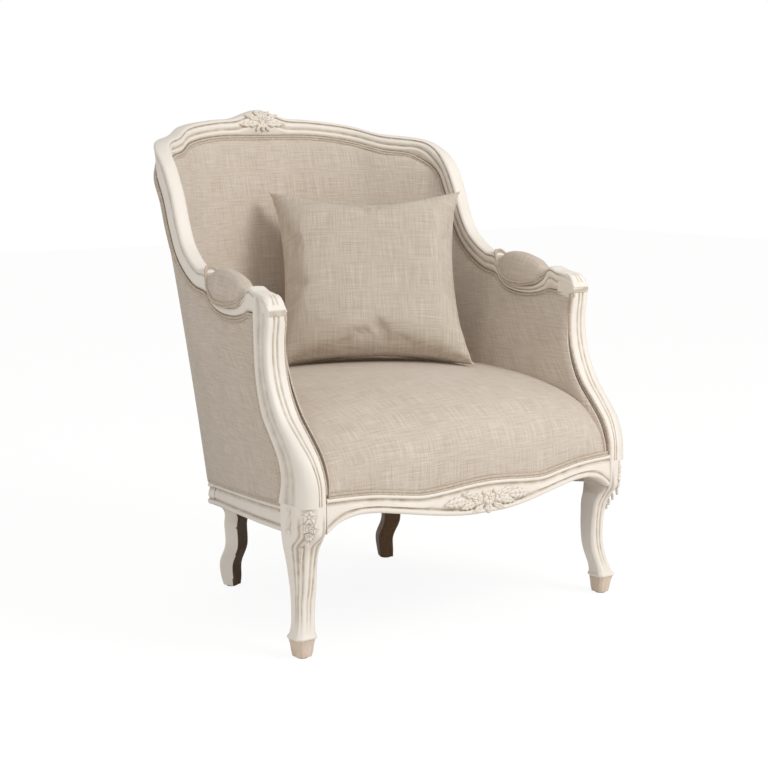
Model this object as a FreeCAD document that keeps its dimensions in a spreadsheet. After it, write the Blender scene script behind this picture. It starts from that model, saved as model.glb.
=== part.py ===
import FreeCAD, Part
import math
import os
import re
import Sketcher
from FreeCAD import Rotation, Vector

# Bergere armchair: a carved beech frame with a curved "gondola" back, upholstered seat, back,
# sides and arm pads, and one loose scatter cushion. X runs across the seat, -Y is the front, Z is up.
# Sizes are in millimetres. Depths are measured from a datum line across the middle of the seat,
# and every sub-part is then placed so that the origin is under the middle of the whole chair.

SIZES = (
    ("front_reach", 357, "datum to the face of the front rail at its middle"),
    ("back_reach", 431, "datum to the back of the crest rail at its middle"),
    ("crest_shoulder", 950, "floor to the top of the crest beside the hump"),
    ("crest_height", 34, "height of the crest's face beside the hump"),
    ("rim_depth", 31, "thickness of crest, back posts and arms through the shell"),
    ("rim_width", 38, "width of the back posts and arms along the shell"),
    ("ear_height", 899, "floor to the outer corner of the back frame"),
    ("ear_half_span", 353, "middle to the outer corner of the back frame"),
    ("ear_back", 243, "datum to the outer corner of the back frame"),
    ("arm_top", 647, "floor to the top of the arm at its front"),
    ("arm_half_span", 389, "middle to the outside of the arm's front end"),
    ("arm_width", 40, "width of the arm's front end and the arm stump"),
    ("stump_top", 606, "floor to the top of the arm stump"),
    ("knee_top", 280, "floor to the top of the front leg's block"),
    ("knee_bottom", 222, "floor to the underside of the front leg's block"),
    ("knee_outside", 393, "middle to the outside of the front leg's block"),
    ("knee_inside", 345, "middle to the inside of the front leg's block"),
    ("knee_front", 325, "datum to the front of the front leg's block"),
    ("knee_back", 243, "datum to the back of the front leg's block"),
    ("ankle_width", 36, "width of the front leg at its thinnest"),
    ("front_foot_x", 369, "middle to the middle of a front foot"),
    ("front_foot_y", 278, "datum to the middle of a front foot"),
    ("rear_leg_x", 200, "middle to the middle of a rear leg"),
    ("rear_leg_y", 208, "datum to the middle of a rear leg"),
    ("rear_leg_width", 38, "width of a rear leg"),
    ("rear_block_outside", 262, "middle to the outside of the rear leg's block"),
    ("rear_block_inside", 200, "middle to the inside of the rear leg's block"),
    ("rear_block_front", 185, "datum to the front of the rear leg's block"),
    ("rear_block_back", 240, "datum to the back of the rear leg's block"),
    ("rear_block_bottom", 183, "floor to the underside of the rear leg's block"),
    ("rail_top_front", 272, "floor to the top of a side rail at the front leg"),
    ("rail_top_rear", 226, "floor to the top of a side rail at the rear leg"),
    ("side_rail_height", 48, "height of a side rail"),
    ("rail_width", 26, "thickness of the side and back rails"),
    ("front_rail_back", 297, "datum to the back of the front rail"),
    ("front_rail_top", 288, "floor to the top of the front rail at its middle"),
    ("front_rail_height", 60, "height of the front rail at its middle"),
    ("back_rail_reach", 300, "datum to the back of the back rail at its middle"),
    ("webbing_width", 50, "width of a webbing band"),
    ("webbing_thickness", 2, "thickness of a webbing band"),
    ("seat_crown", 462, "floor to the top of the seat's crown"),
    ("cover_thickness", 2.5, "thickness of the upholstery fabric with its wadding"),
    ("pad_thickness", 16, "thickness of the foam on the inside of the shell"),
    ("pad_crown", 12, "how far the inside pads bulge"),
    ("board_thickness", 3, "thickness of the covered board on the outside of the shell"),
    ("arm_pad_length", 142, "length of an arm pad"),
    ("arm_pad_height", 58, "height of an arm pad above its seat"),
    ("cushion_size", 400, "side of the scatter cushion between its corners"),
    ("cushion_depth", 112, "thickness of the scatter cushion at its crown"),
    ("cushion_x", 70, "middle of the chair to the middle of the cushion"),
    ("cushion_y", 118, "datum to the middle of the cushion"),
    ("cushion_lean", 33, "lean of the cushion from upright, in degrees"),
    ("cushion_turn", 32, "turn of the cushion towards the left arm, in degrees"),
    ("screw_diameter", 5, "shank diameter of the corner block screws"),
    ("screw_length", 45, "length of the corner block screws"),
    ("dowel_diameter", 10, "diameter of the frame dowels"),
    ("dowel_length", 40, "length of the frame dowels"),
    ("glide_diameter", 20, "diameter of the felt glides"),
    ("glide_thickness", 3, "thickness of the felt glides"),
    ("fit", 0.3, "clearance of a soft piece from its neighbour"),
)

document = FreeCAD.newDocument("bergere_chair")
sheet = document.addObject("Spreadsheet::Sheet", "Sizes")
for row, (alias, number, meaning) in enumerate(SIZES, start=1):
    sheet.set(f"A{row}", meaning)
    sheet.set(f"B{row}", str(number))
    sheet.setAlias(f"B{row}", alias)
document.recompute()

ALIASES = {alias for alias, _, _ in SIZES}
SIDES = (("left", -1), ("right", 1))
ORIGIN_SHIFT = "(front_reach - back_reach) / 2"
SUB_PARTS = []


def size(alias):
    """Return one driving dimension from the sheet."""
    return float(sheet.get(alias))


def bound(formula):
    """Return a formula with every driving dimension pointed at its cell."""
    return re.sub(r"[a-z_]+", lambda word: "Sizes." + word[0] if word[0] in ALIASES else word[0], formula)


def value(formula):
    """Return what a formula gives with the sizes in the sheet."""
    return float(sheet.evalExpression(bound(formula)))


def place(part):
    """Shift a finished sub-part so that the origin is under the middle of the chair."""
    part.setExpression("Placement.Base.y", bound(ORIGIN_SHIFT))
    SUB_PARTS.append(part)
    return part


def place_shape(label, shape):
    """Make a sub-part from a shape built in the datum frame."""
    part = document.addObject("Part::Feature", label)
    part.Label = label
    part.Shape = shape
    part.Placement = FreeCAD.Placement(Vector(0, value(ORIGIN_SHIFT), 0), Rotation())
    SUB_PARTS.append(part)
    return part


def new_body(label):
    """Start a sub-part that is built from sketches."""
    body = document.addObject("PartDesign::Body", label)
    body.Label = label
    return place(body)


def origin_plane(body, role):
    """Return one of the body's own origin planes."""
    return next(item for item in body.Origin.OriginFeatures if item.Role == role)


def outline(body, role, offset, corners):
    """Draw a closed outline on a plane of the body, with each corner held by two formulas."""
    sketch = body.newObject("Sketcher::SketchObject", f"{body.Name}_outline")
    sketch.AttachmentSupport = (origin_plane(body, role), [""])
    sketch.MapMode = "FlatFace"
    sketch.setExpression("AttachmentOffset.Base.z", bound(offset))
    places = [(value(across), value(along)) for across, along in corners]
    for index, start in enumerate(places):
        end = places[(index + 1) % len(places)]
        sketch.addGeometry(Part.LineSegment(Vector(*start, 0), Vector(*end, 0)), False)
    joints = [
        Sketcher.Constraint("Coincident", index, 2, (index + 1) % len(places), 1)
        for index in range(len(places))
    ]
    sketch.addConstraint(joints)
    for index, (across, along) in enumerate(corners):
        distances = (("DistanceX", across, places[index][0]), ("DistanceY", along, places[index][1]))
        for kind, formula, number in distances:
            held = sketch.addConstraint(Sketcher.Constraint(kind, -1, 1, index, 1, number))
            sketch.setExpression(f"Constraints[{held}]", bound(formula))
    return sketch


def add_pad(body, sketch, length):
    """Thicken an outline along its plane's normal."""
    pad = body.newObject("PartDesign::Pad", f"{body.Name}_pad")
    pad.Profile = sketch
    pad.setExpression("Length", bound(length))
    sketch.Visibility = False
    return pad


def add_loft(body, sketches, ruled=False):
    """Run a solid through outlines in order."""
    loft = body.newObject("PartDesign::AdditiveLoft", f"{body.Name}_loft")
    loft.Profile = sketches[0]
    loft.Sections = sketches[1:]
    loft.Ruled = ruled
    return loft


def chamfered(inside, outside, front, back, cut, knee_cut, side):
    """Return the eight corners of a leg's section, with a larger cut on its outer front corner."""
    low, high = (outside, inside) if side < 0 else (inside, outside)
    low_cut, high_cut = (knee_cut, cut) if side < 0 else (cut, knee_cut)
    left = f"({low}) * {side}"
    right = f"({high}) * {side}"
    return [
        (f"{left} + {low_cut}", front),
        (f"{right} - {high_cut}", front),
        (right, f"{front} + {high_cut}"),
        (right, f"{back} - {cut}"),
        (f"{right} - {cut}", back),
        (f"{left} + {cut}", back),
        (left, f"{back} - {cut}"),
        (left, f"{front} + {low_cut}"),
    ]


# Front cabriole leg below its block: height, shift outwards and forwards of the foot, half width.
FRONT_LEG_BENDS = (
    (206, -3, -3, 9), (190, -6, -9, 6.5), (166, -9, -12, 4), (142, -11, -13, 2.5), (118, -12, -13, 1),
    (97, -11, -12, 0), (78, -8, -8, -0.5), (60, -4, -3, -0.5), (46, -1, 0, 1), (36, 1, 1, 2),
)
FRONT_FOOT = ((28, 0, 0, 0), (10, 0, 0, -1), (0, 0, 0, -3))


def make_front_leg(name, side):
    """Make a front leg: a block that takes the rails, then an S-shaped leg on a small foot."""
    body = new_body(f"front_leg_{name}")
    block = ("knee_inside", "knee_outside", "-knee_front", "-knee_back")
    top = outline(body, "XY_Plane", "knee_bottom", chamfered(*block, 3, 26, side))
    add_pad(body, top, "knee_top - knee_bottom")
    sections = [outline(body, "XY_Plane", "knee_bottom", chamfered(*block, 3, 26, side))]
    for height, outwards, forwards, wider in FRONT_LEG_BENDS + FRONT_FOOT:
        middle = f"front_foot_x + {outwards}"
        depth = f"-front_foot_y - {forwards}"
        half = f"ankle_width / 2 + {wider}"
        corners = chamfered(
            f"{middle} - ({half})", f"{middle} + {half}",
            f"{depth} - ({half})", f"{depth} + {half}", 5, 7, side
        )
        sections.append(outline(body, "XY_Plane", f"{height}" if height else "glide_thickness", corners))
    add_loft(body, sections, ruled=True)


# Rear leg below its block: height, shift backwards of the leg's middle, half width across, half depth.
REAR_LEG_BENDS = (
    (165, 1, 1, 1), (130, -3, -0.5, 0), (90, -5, -1.5, 0),
    (45, 18, -3, 0.5), (15, 15, -4, -1.5), (0, 13, -5, -4),
)


# Cut across the rear corner of the rear leg's block.
REAR_BLOCK_CUT = 30


def make_rear_leg(name, side):
    """Make a rear leg: a block that takes the rails, then a plain outswept leg."""
    body = new_body(f"rear_leg_{name}")
    corner = str(REAR_BLOCK_CUT)
    left, right = "rear_block_inside", "rear_block_outside"
    if side < 0:
        left, right = right, left
    low, high = f"({left}) * {side}", f"({right}) * {side}"
    low_cut, high_cut = (corner, "1") if side < 0 else ("1", corner)
    block = [
        (low, "rear_block_front"), (high, "rear_block_front"), (high, f"rear_block_back - {high_cut}"),
        (f"{high} - {high_cut}", "rear_block_back"), (f"{low} + {low_cut}", "rear_block_back"),
        (low, f"rear_block_back - {low_cut}"),
    ]
    block_height = f"{seat_plane('rear_block_back')} - rear_block_bottom"
    add_pad(body, outline(body, "XY_Plane", "rear_block_bottom", block), block_height)
    sections = [outline(body, "XY_Plane", "rear_block_bottom", block)]
    for height, backwards, wider, deeper in REAR_LEG_BENDS:
        half = f"rear_leg_width / 2 + {wider}"
        deep = f"rear_leg_width / 2 + {deeper}"
        middle = f"rear_leg_x * {side}"
        low, high = f"{middle} - ({half})", f"{middle} + {half}"
        front, back = f"rear_leg_y + {backwards} - ({deep})", f"rear_leg_y + {backwards} + {deep}"
        corners = [
            (low, front), (high, front), (high, f"{back} - 2"), (f"{high} - 2", back),
            (f"{low} + 2", back), (low, f"{back} - 2"),
        ]
        sections.append(outline(body, "XY_Plane", f"{height}" if height else "glide_thickness", corners))
    add_loft(body, sections, ruled=True)


SEAT_SLOPE = "(rail_top_front - rail_top_rear) / (knee_back + rear_block_front)"


def seat_plane(depth):
    """Return the formula for the height of the sloping top of the seat frame at a depth."""
    return f"(rail_top_front - ({depth} + knee_back) * {SEAT_SLOPE})"


def seat_level(depth):
    """Return the height of the sloping top of the seat frame at a depth."""
    return size("rail_top_front") - (depth + size("knee_back")) * value(SEAT_SLOPE)


def sloping_sheet(corners, lift, thickness):
    """Return a flat sheet parallel to the top of the seat frame, lifted off it, on a plan outline."""
    low = [Vector(across, depth, seat_level(depth) + lift) for across, depth in corners]
    return Part.Face(Part.makePolygon(low + low[:1])).extrude(Vector(0, 0, thickness))


# Front rail: distance from the end, how far its face lies behind the middle, top and bottom
# above those at the middle. The plan bows forwards and the face waves in height.
FRONT_RAIL_WAVE = (
    (1.0, 32, 4, 0), (0.94, 30, 4, 15), (0.84, 25, 4, 27), (0.72, 21, 2, 28), (0.58, 17, -4, 21),
    (0.42, 10, -10, 12), (0.28, 5, -7, 5), (0.14, 1, -2, 0.5), (0.0, 0, 0, 0),
)


# Thickness of the front rail's lip, which stands in front of the seat's rebate.
FRONT_RAIL_LIP = 12


def make_front_rail():
    """Make the serpentine front rail, with a sloping rebate behind its face for the webbing."""
    body = new_body("front_seat_rail")
    stations = [(-share, *rest) for share, *rest in FRONT_RAIL_WAVE]
    stations += [(share, *rest) for share, *rest in reversed(FRONT_RAIL_WAVE[:-1])]
    sections = []
    for share, behind, top, bottom in stations:
        face = f"-front_reach + {behind}"
        corners = [
            (face, f"front_rail_top - front_rail_height + {bottom}"),
            (face, f"front_rail_top + {top}"),
            (f"{face} + 8", f"front_rail_top + {top}"),
            (f"{face} + {FRONT_RAIL_LIP}", seat_plane(f"{face} + {FRONT_RAIL_LIP}")),
            ("-front_rail_back", seat_plane("-front_rail_back")),
            ("-front_rail_back", f"front_rail_top - front_rail_height + {bottom}"),
        ]
        sections.append(outline(body, "YZ_Plane", f"knee_inside * {share}", corners))
    add_loft(body, sections)


# Side rail: share of its length from the front, and how far it bows outwards.
SIDE_RAIL_BOW = ((0, 0), (0.33, 4), (0.67, 3), (1, 0))


def make_side_rail(name, side):
    """Make a side rail from the front leg's block to the rear leg's block, narrowing the seat."""
    body = new_body(f"side_seat_rail_{name}")
    sections = []
    for share, bow in SIDE_RAIL_BOW:
        depth = f"(-knee_back + {share} * (knee_back + rear_block_front))"
        outer = f"(knee_outside - 5 + {share} * (rear_block_outside - knee_outside + 5) + {bow})"
        top = f"(rail_top_front + {share} * (rail_top_rear - rail_top_front))"
        inner = f"({outer} - rail_width)"
        low, high = (outer, inner) if side < 0 else (inner, outer)
        corners = [
            (f"{low} * {side}", f"{top} - side_rail_height + 5 * {share}"),
            (f"{high} * {side}", f"{top} - side_rail_height + 5 * {share}"),
            (f"{high} * {side}", top),
            (f"{low} * {side}", top),
        ]
        sections.append(outline(body, "XZ_Plane", f"-{depth}", corners))
    add_loft(body, sections, ruled=True)


def arc_prism(points, bottom, height):
    """Return an upright prism on a plan outline of arcs and lines, given as runs of points."""
    edges = []
    for run in points:
        if len(run) == 2:
            edges.append(Part.LineSegment(Vector(*run[0], bottom), Vector(*run[1], bottom)).toShape())
        else:
            edges.append(Part.Arc(*(Vector(*point, bottom) for point in run)).toShape())
    return Part.Face(Part.Wire(edges)).extrude(Vector(0, 0, height))


def make_back_rail():
    """Make the curved back rail between the rear legs' blocks."""
    half, back = size("rear_block_inside"), size("rear_block_back")
    reach, thick = size("back_rail_reach"), size("rail_width")
    plan = (
        ((half, back), (0, reach), (-half, back)),
        ((-half, back), (-half, back - thick)),
        ((-half, back - thick), (0, reach - thick), (half, back - thick)),
        ((half, back - thick), (half, back)),
    )
    bottom, height = size("rear_block_bottom"), size("rail_top_rear") - size("rear_block_bottom")
    over = sloping_sheet(((-half, 0), (half, 0), (half, 2 * reach), (-half, 2 * reach)), 0, 2 * height)
    place_shape("back_seat_rail", arc_prism(plan, bottom, height).cut(over))


# Arm stump: height share, front and back of its section ahead of the datum, cut of its outer corner.
STUMP_SWEEP = (
    (0.0, 325, 243, 26), (0.14, 321, 250, 24), (0.25, 304, 238, 18),
    (0.35, 275, 214, 12), (0.45, 244, 190, 8), (0.56, 222, 176, 6),
    (0.7, 206, 166, 5), (0.85, 202, 162, 5), (1.0, 208, 160, 5),
)


def make_arm_stump(name, side):
    """Make an arm stump, which sweeps back and up from the front leg's block to the arm."""
    body = new_body(f"arm_stump_{name}")
    sections = []
    for share, front, back, cut in STUMP_SWEEP:
        outer = f"(arm_half_span + (knee_outside - arm_half_span) * (1 - {share}))"
        inner = f"({outer} - arm_width - 7 * (1 - {share}))"
        low, high = (outer, inner) if side < 0 else (inner, outer)
        low_cut, high_cut = (cut, 1) if side < 0 else (1, cut)
        corners = [
            (f"{low} * {side} + {low_cut}", f"-{front}"), (f"{high} * {side} - {high_cut}", f"-{front}"),
            (f"{high} * {side}", f"-{front} + {high_cut}"), (f"{high} * {side}", f"-{back}"),
            (f"{low} * {side}", f"-{back}"), (f"{low} * {side}", f"-{front} + {low_cut}"),
        ]
        height = f"knee_top + {share} * (stump_top - knee_top)"
        sections.append(outline(body, "XY_Plane", height, corners))
    add_loft(body, sections, ruled=True)


# Arm rail from its rounded front end back to the post: depth, top above the arm's top,
# bottom above the stump's top, and how far the outside lies in from the front end's outside.
ARM_SCOOP = (
    (-208, -29, 0, 0), (-198, -13, 0, 0), (-180, -4, 0, 1), (-158, 0, 0, 3),
    (-130, 5, 1, 5), (-121, -9, -3, 6), (-98, -26, -9, 8), (-63, -33, -12, 11),
    (-28, -31, -9, 13), (-4, -23, -2, 15), (12, -7, 8, 15), (26, 20, 22, 16),
)
# Back post from the arm up to the ear: depth of its front edge, height share from arm to ear,
# lean of its width from upright in degrees, and its outside in from the arm's front end's outside.
POST_RISE = (
    (56, 0.11, 70, 16), (87, 0.18, 57, 18), (112, 0.27, 40, 20), (134, 0.42, 24, 22), (158, 0.66, 24, 23),
    (182, 0.83, 32, 24),
)
# Crest: half width share of the ear's, depth from the back reach, top below the shoulder,
# and turn of its thickness from straight back in degrees.
CREST_ARCH = (
    (0.74, 89, 29, 25), (0.61, 48, 14, 16), (0.34, 14, 1, 9),
    (0.17, 3, -4, 4), (0.09, 1, -13, 2), (0, 0, -20, 0),
)


def quad(corner, across, along):
    """Return the wire of a section from one corner and its two sides."""
    points = [corner, corner + across, corner + across + along, corner + along]
    return Part.makePolygon(points + points[:1])


def mirrored(vector, side):
    """Return a vector on the left or the right of the chair."""
    return Vector(vector.x * side, vector.y, vector.z)


def rim_stations():
    """Return the rim's stations from the arm's front end to the middle of the crest.

    Each is the outer front edge, the side through the shell and the side down the shell."""
    outside, top, stump = size("arm_half_span"), size("arm_top"), size("stump_top")
    depth, width = size("rim_depth"), size("rim_width")
    arm_width = size("arm_width")
    arm = []
    for index, (back, up, under, inset) in enumerate(ARM_SCOOP):
        share = index / (len(ARM_SCOOP) - 1)
        through = Vector(-arm_width + share * (arm_width - depth), 0, 0)
        arm.append((Vector(outside - inset, back, top + up), through, Vector(0, 0, stump + under - top - up)))
    ear = Vector(size("ear_half_span"), size("ear_back"), size("ear_height"))
    post = []
    for back, share, lean, inset in POST_RISE:
        tilt = math.radians(lean)
        edge = Vector(outside - inset, back, top + share * (ear.z - top))
        post.append((edge, Vector(-depth, 0, 0), Vector(0, math.cos(tilt), -math.sin(tilt)) * width))
    turn = math.radians(37)
    corner = Vector(-0.58, 0.71, -0.74) * width
    ear_station = (ear, Vector(-math.cos(turn), -math.sin(turn), 0) * depth, corner)
    crest = []
    for share, ahead, below, turned in CREST_ARCH:
        angle = math.radians(turned)
        edge = Vector(share * ear.x, size("back_reach") - ahead, size("crest_shoulder") - below)
        through = Vector(-math.sin(angle), -math.cos(angle), 0) * depth
        height = size("crest_height") + max(0, -below)
        crest.append((edge, through, Vector(-0.1 * share * height, -0.22 * height, -height)))
    return arm, post, ear_station, crest


def make_rim():
    """Make the arms, back posts and crest rail, which share their end sections."""
    arm, post, ear, crest = rim_stations()
    for name, side in SIDES:
        def wires(stations):
            return [quad(*(mirrored(vector, side) for vector in station)) for station in stations]

        place_shape(f"arm_rail_{name}", Part.makeLoft(wires(arm + post[:1]), True, True))
        place_shape(f"back_post_{name}", Part.makeLoft(wires(post + [ear]), True, True))
    left = [quad(*(mirrored(vector, -1) for vector in station)) for station in [ear] + crest]
    right = [quad(*station) for station in reversed([ear] + crest[:-1])]
    place_shape("crest_rail", Part.makeLoft(left + right, True, True))


def unit(vector):
    """Return a vector's direction."""
    return Vector(vector).normalize()


def side_rail_outside(depth):
    """Return how far the outside of the side rails lies from the middle at a depth."""
    share = (depth + size("knee_back")) / (size("knee_back") + size("rear_block_front"))
    shares = [at for at, _ in SIDE_RAIL_BOW]
    index = next((i for i in range(1, len(shares)) if share <= shares[i]), len(shares) - 1)
    (low, low_bow), (high, high_bow) = SIDE_RAIL_BOW[index - 1], SIDE_RAIL_BOW[index]
    bow = low_bow + (high_bow - low_bow) * (share - low) / (high - low)
    front = size("knee_outside") - 5
    return front + share * (size("rear_block_outside") - front) + bow


def back_rail_outside(across):
    """Return the depth of the back rail's outer arc at a distance from the middle."""
    half, rise = size("rear_block_inside"), size("back_rail_reach") - size("rear_block_back")
    radius = (half ** 2 + rise ** 2) / (2 * rise)
    return size("back_rail_reach") - radius + math.sqrt(radius ** 2 - across ** 2)


# Depths of the shell's layers below its outside: the outside board, and the uprights behind it.
BOARD_RECESS = 4
UPRIGHT_AT_RIM, UPRIGHT_AT_FOOT = 7, 13
# How far the inside pads stay behind the rim, reach past the seat rail, and their foam's share at the rim.
PAD_RECESS, PAD_REACH, RIM_FOAM = 3, 20, 0.6
# Thickness of the inside pads where they lie on the arm stumps and the front legs' blocks.
STUMP_PAD = 6
# Gaps from the outside boards to the arm stumps, and from the inside pads to the front rail's lip.
STUMP_GAP, LIP_GAP = 1.3, 2.5


def shell_feet():
    """Return where the shell's outside meets the seat frame below each rim station."""
    arm, post, _, crest = rim_stations()
    feet = []
    front, back = arm[0][0].y, post[-1][0].y
    foot_front, foot_back = front - 3, size("rear_block_front") - 25
    for station in arm + post:
        depth = foot_front + (station[0].y - front) * (foot_back - foot_front) / (back - front)
        feet.append(Vector(side_rail_outside(depth), depth, 0))
    corner = size("rear_block_outside") + size("rear_block_back") - REAR_BLOCK_CUT
    feet.append(Vector(corner / 2 + REAR_BLOCK_CUT / 2, corner / 2 - REAR_BLOCK_CUT / 2, 0))
    feet.append(Vector(corner / 2, corner / 2, 0))
    for station in crest[1:]:
        across = size("rear_block_inside") * station[0].x / crest[1][0].x
        feet.append(Vector(across, back_rail_outside(across), 0))
    return feet


def shell_stations():
    """Return the stations of the upholstered shell, from the front of the arm to the middle of the back.

    Each is a rim station's outer edge, its unit side through the shell towards the sitter, that side's
    length, its side down the shell, the foot on the seat frame, how much of the pads' thickness it
    has, and whether it lies beside the arm stump."""
    arm, post, ear, crest = rim_stations()
    stations = []
    for index, ((edge, through, along), foot) in enumerate(zip(arm + post + [ear] + crest, shell_feet())):
        ease = min(1, index / len(arm))
        beside = index < 4
        stations.append((edge, unit(through), through.Length, along, foot, ease, beside))
    return stations


def shell_line(station, at_rim, at_foot, crown, lift):
    """Return the points of a layer's face at a station, from the rim down to the seat frame."""
    edge, inward, _, along, foot, ease, _ = station
    high = edge + along + unit(along) * size("fit") + inward * at_rim
    low = foot + inward * at_foot
    low.z = seat_level(low.y) + lift
    points = []
    for share, *_ in reversed(STUMP_SWEEP):
        bulge = 4 * share * (1 - share) * crown * ease
        points.append(low + (high - low) * share + inward * bulge)
    return points


def front_line(station, at_rim, at_foot, lift, column, limit):
    """Return the points of a layer's front edge, which follows the arm stump's front or back."""
    edge, inward, _, along, foot, _, _ = station
    top = edge.z + along.z - size("fit")
    margin = size("fit") if column == 1 else -STUMP_GAP
    bottom = seat_level(-min(STUMP_SWEEP[0][column] + margin, limit)) + lift
    points = []
    for row in reversed(STUMP_SWEEP):
        height = min(top, max(bottom, size("knee_top") + row[0] * (size("stump_top") - size("knee_top"))))
        height = bottom if row[0] == 0 else height
        across = foot.x - at_foot + row[0] * (edge.x - at_rim - foot.x + at_foot)
        points.append(Vector(across, -min(row[column] + margin, limit), height))
    return points


def board_face(station, inner):
    """Return the depths of a face of the outside board at the rim and at the seat."""
    depth = BOARD_RECESS + inner * size("board_thickness")
    return depth, depth


def upright_face(station, inner):
    """Return the depths of a face of a hidden upright at the rim and at the seat."""
    behind = BOARD_RECESS + size("board_thickness") + size("fit")
    return behind + inner * UPRIGHT_AT_RIM, behind + inner * UPRIGHT_AT_FOOT


def pad_face(station, layer):
    """Return the depths of a pad's face: 0 the foam's back, 1 between foam and fabric, 2 the front."""
    edge, _, width, _, foot, ease, beside = station
    cloth = size("cover_thickness")
    if beside:
        rim = edge.x - (size("arm_half_span") - size("arm_width") - size("fit"))
        seat = foot.x - (size("knee_inside") - size("fit"))
        depth = (0, STUMP_PAD - cloth, STUMP_PAD)[layer]
        return rim + depth, seat + depth
    rim, seat = width - PAD_RECESS, size("rail_width") + PAD_REACH
    foam = size("pad_thickness")
    return rim - (cloth + RIM_FOAM * foam, cloth, 0)[layer], seat - (cloth + foam, cloth, 0)[layer]


def strip(lower, upper):
    """Return the small ruled faces between two rows of points."""
    faces = []
    for low, high in zip(zip(lower, lower[1:]), zip(upper, upper[1:])):
        faces.append(Part.makeRuledSurface(Part.makeLine(*low), Part.makeLine(*high)))
    return faces


def layer_solid(stations, side, outer, inner, crowns, lift, front=None):
    """Run a layer of the shell through stations, from one face to the other.

    Side is 1 or -1 for one side of the chair and 0 for both. Front is the column of the arm stump's
    table that the layer's front edge follows, with the furthest that the edge may reach."""
    rows = []
    for station in stations:
        faces = zip((outer(station), inner(station)), crowns)
        rows.append([shell_line(station, *face, crown, lift) for face, crown in faces])
    if front:
        rows.insert(0, [front_line(stations[0], *face(stations[0]), lift, *front) for face in (outer, inner)])
    if side == 0:
        rows = [[[mirrored(point, -1) for point in line] for line in row] for row in rows] + rows[-2::-1]
        side = 1
    rows = [[[mirrored(point, side) for point in line] for line in row] for row in rows]
    wires = [Part.makePolygon(back + ahead[::-1] + back[:1]) for back, ahead in rows]
    faces = Part.makeLoft(wires, False, True).Faces + strip(*rows[0]) + strip(*rows[-1])
    shell = Part.makeShell(faces)
    shell.sewShape()
    solid = Part.makeSolid(shell)
    if solid.Volume < 0:
        solid.reverse()
    return solid


def trimmed(shape, tools):
    """Cut tools from a shape one by one and keep its biggest solid, without the scraps."""
    for tool in tools:
        if tool.BoundBox.intersect(shape.BoundBox):
            shape = shape.cut(tool)
    return max(shape.Solids, key=lambda solid: solid.Volume)


def datum_shapes(labels):
    """Return the shapes of finished sub-parts in the datum frame."""
    shapes = []
    for part in SUB_PARTS:
        if any(part.Label.startswith(label) for label in labels):
            shapes.append(part.Shape.translated(Vector(0, -value(ORIGIN_SHIFT), 0)))
    return shapes


def make_uprights():
    """Make the hidden uprights that carry the arms, the back posts and the crest."""
    stations = shell_stations()
    count = len(ARM_SCOOP)
    behind, ahead = (lambda station: upright_face(station, 0)), (lambda station: upright_face(station, 1))
    for label, run in (("side_upright", stations[count - 1:count + 1]), ("back_upright", stations[-7:-5])):
        for name, side in SIDES:
            place_shape(f"{label}_{name}", layer_solid(run, side, behind, ahead, (0, 0), 0))


def make_shell():
    """Make the outside boards and the inside pads, each of fabric over foam."""
    stations = shell_stations()
    ear = len(ARM_SCOOP) + len(POST_RISE)
    crown, lift, fit = size("pad_crown"), 2 * size("webbing_thickness"), size("fit")
    lip = size("front_reach") - FRONT_RAIL_WAVE[0][1] - FRONT_RAIL_LIP - LIP_GAP
    layers = (
        ("outside_{}_panel", board_face, (0, 1), (0, 0), fit, (2, size("knee_front"))),
        ("inside_{}_foam", pad_face, (0, 1), (0, crown), lift, (1, lip)),
        ("inside_{}_cover", pad_face, (1, 2), (crown, crown), lift, (1, lip)),
    )
    for label, face, depths, crowns, up, front in layers:
        def outer(station):
            return face(station, depths[0])

        def inner(station):
            return face(station, depths[1])

        for name, side in SIDES:
            run = layer_solid(stations[:ear + 1], side, outer, inner, crowns, up, front)
            place_shape(f"{label.format('side')}_{name}", run)
        place_shape(label.format("back"), layer_solid(stations[ear:], 0, outer, inner, crowns, up))


# Share of the seat's outline and height below the crown, as its dome closes towards the middle.
SEAT_DOME = ((1, 32), (0.93, 21), (0.78, 10), (0.55, 3), (0.25, 0))
# Seat front below the dome: height below the crown and distance behind the front rail's face.
SEAT_FRONT = ((140, 4), (108, 5), (66, 20))
SEAT_FRONT_FOOT, SEAT_FRONT_BROW = 14, 58
SEAT_GAP = 1.2


def pad_side(height):
    """Return the plan line that the inside pads leave for the seat at a height, on the right."""
    line = []
    crown, lift = size("pad_crown"), 2 * size("webbing_thickness")
    for station in shell_stations():
        face = shell_line(station, *pad_face(station, 2), crown, lift)[::-1]
        pairs = zip(face, face[1:])
        low, high = next((pair for pair in pairs if pair[0].z <= height <= pair[1].z), (face[0], face[1]))
        share = max(0, (height - low.z) / (high.z - low.z))
        point = low + (high - low) * share + station[1] * SEAT_GAP
        line.append((max(0, point.x), point.y))
    return line


def seat_outline(height, behind, shrink):
    """Return the seat's plan at a height, from the middle of its front round the right and back."""
    side = [(across - shrink, depth) for across, depth in pad_side(height)]
    edge = side[0][0]
    front = []
    for share, back, *_ in FRONT_RAIL_WAVE[::-1]:
        front.append((share * edge, -size("front_reach") + back + behind + shrink))
    middle = (0, side[-1][1] - shrink)
    right = front[1:] + [(across, depth) for across, depth in side[:-1]]
    left = [(-across, depth) for across, depth in reversed(right)]
    return [front[0]] + right + [middle] + left


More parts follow.
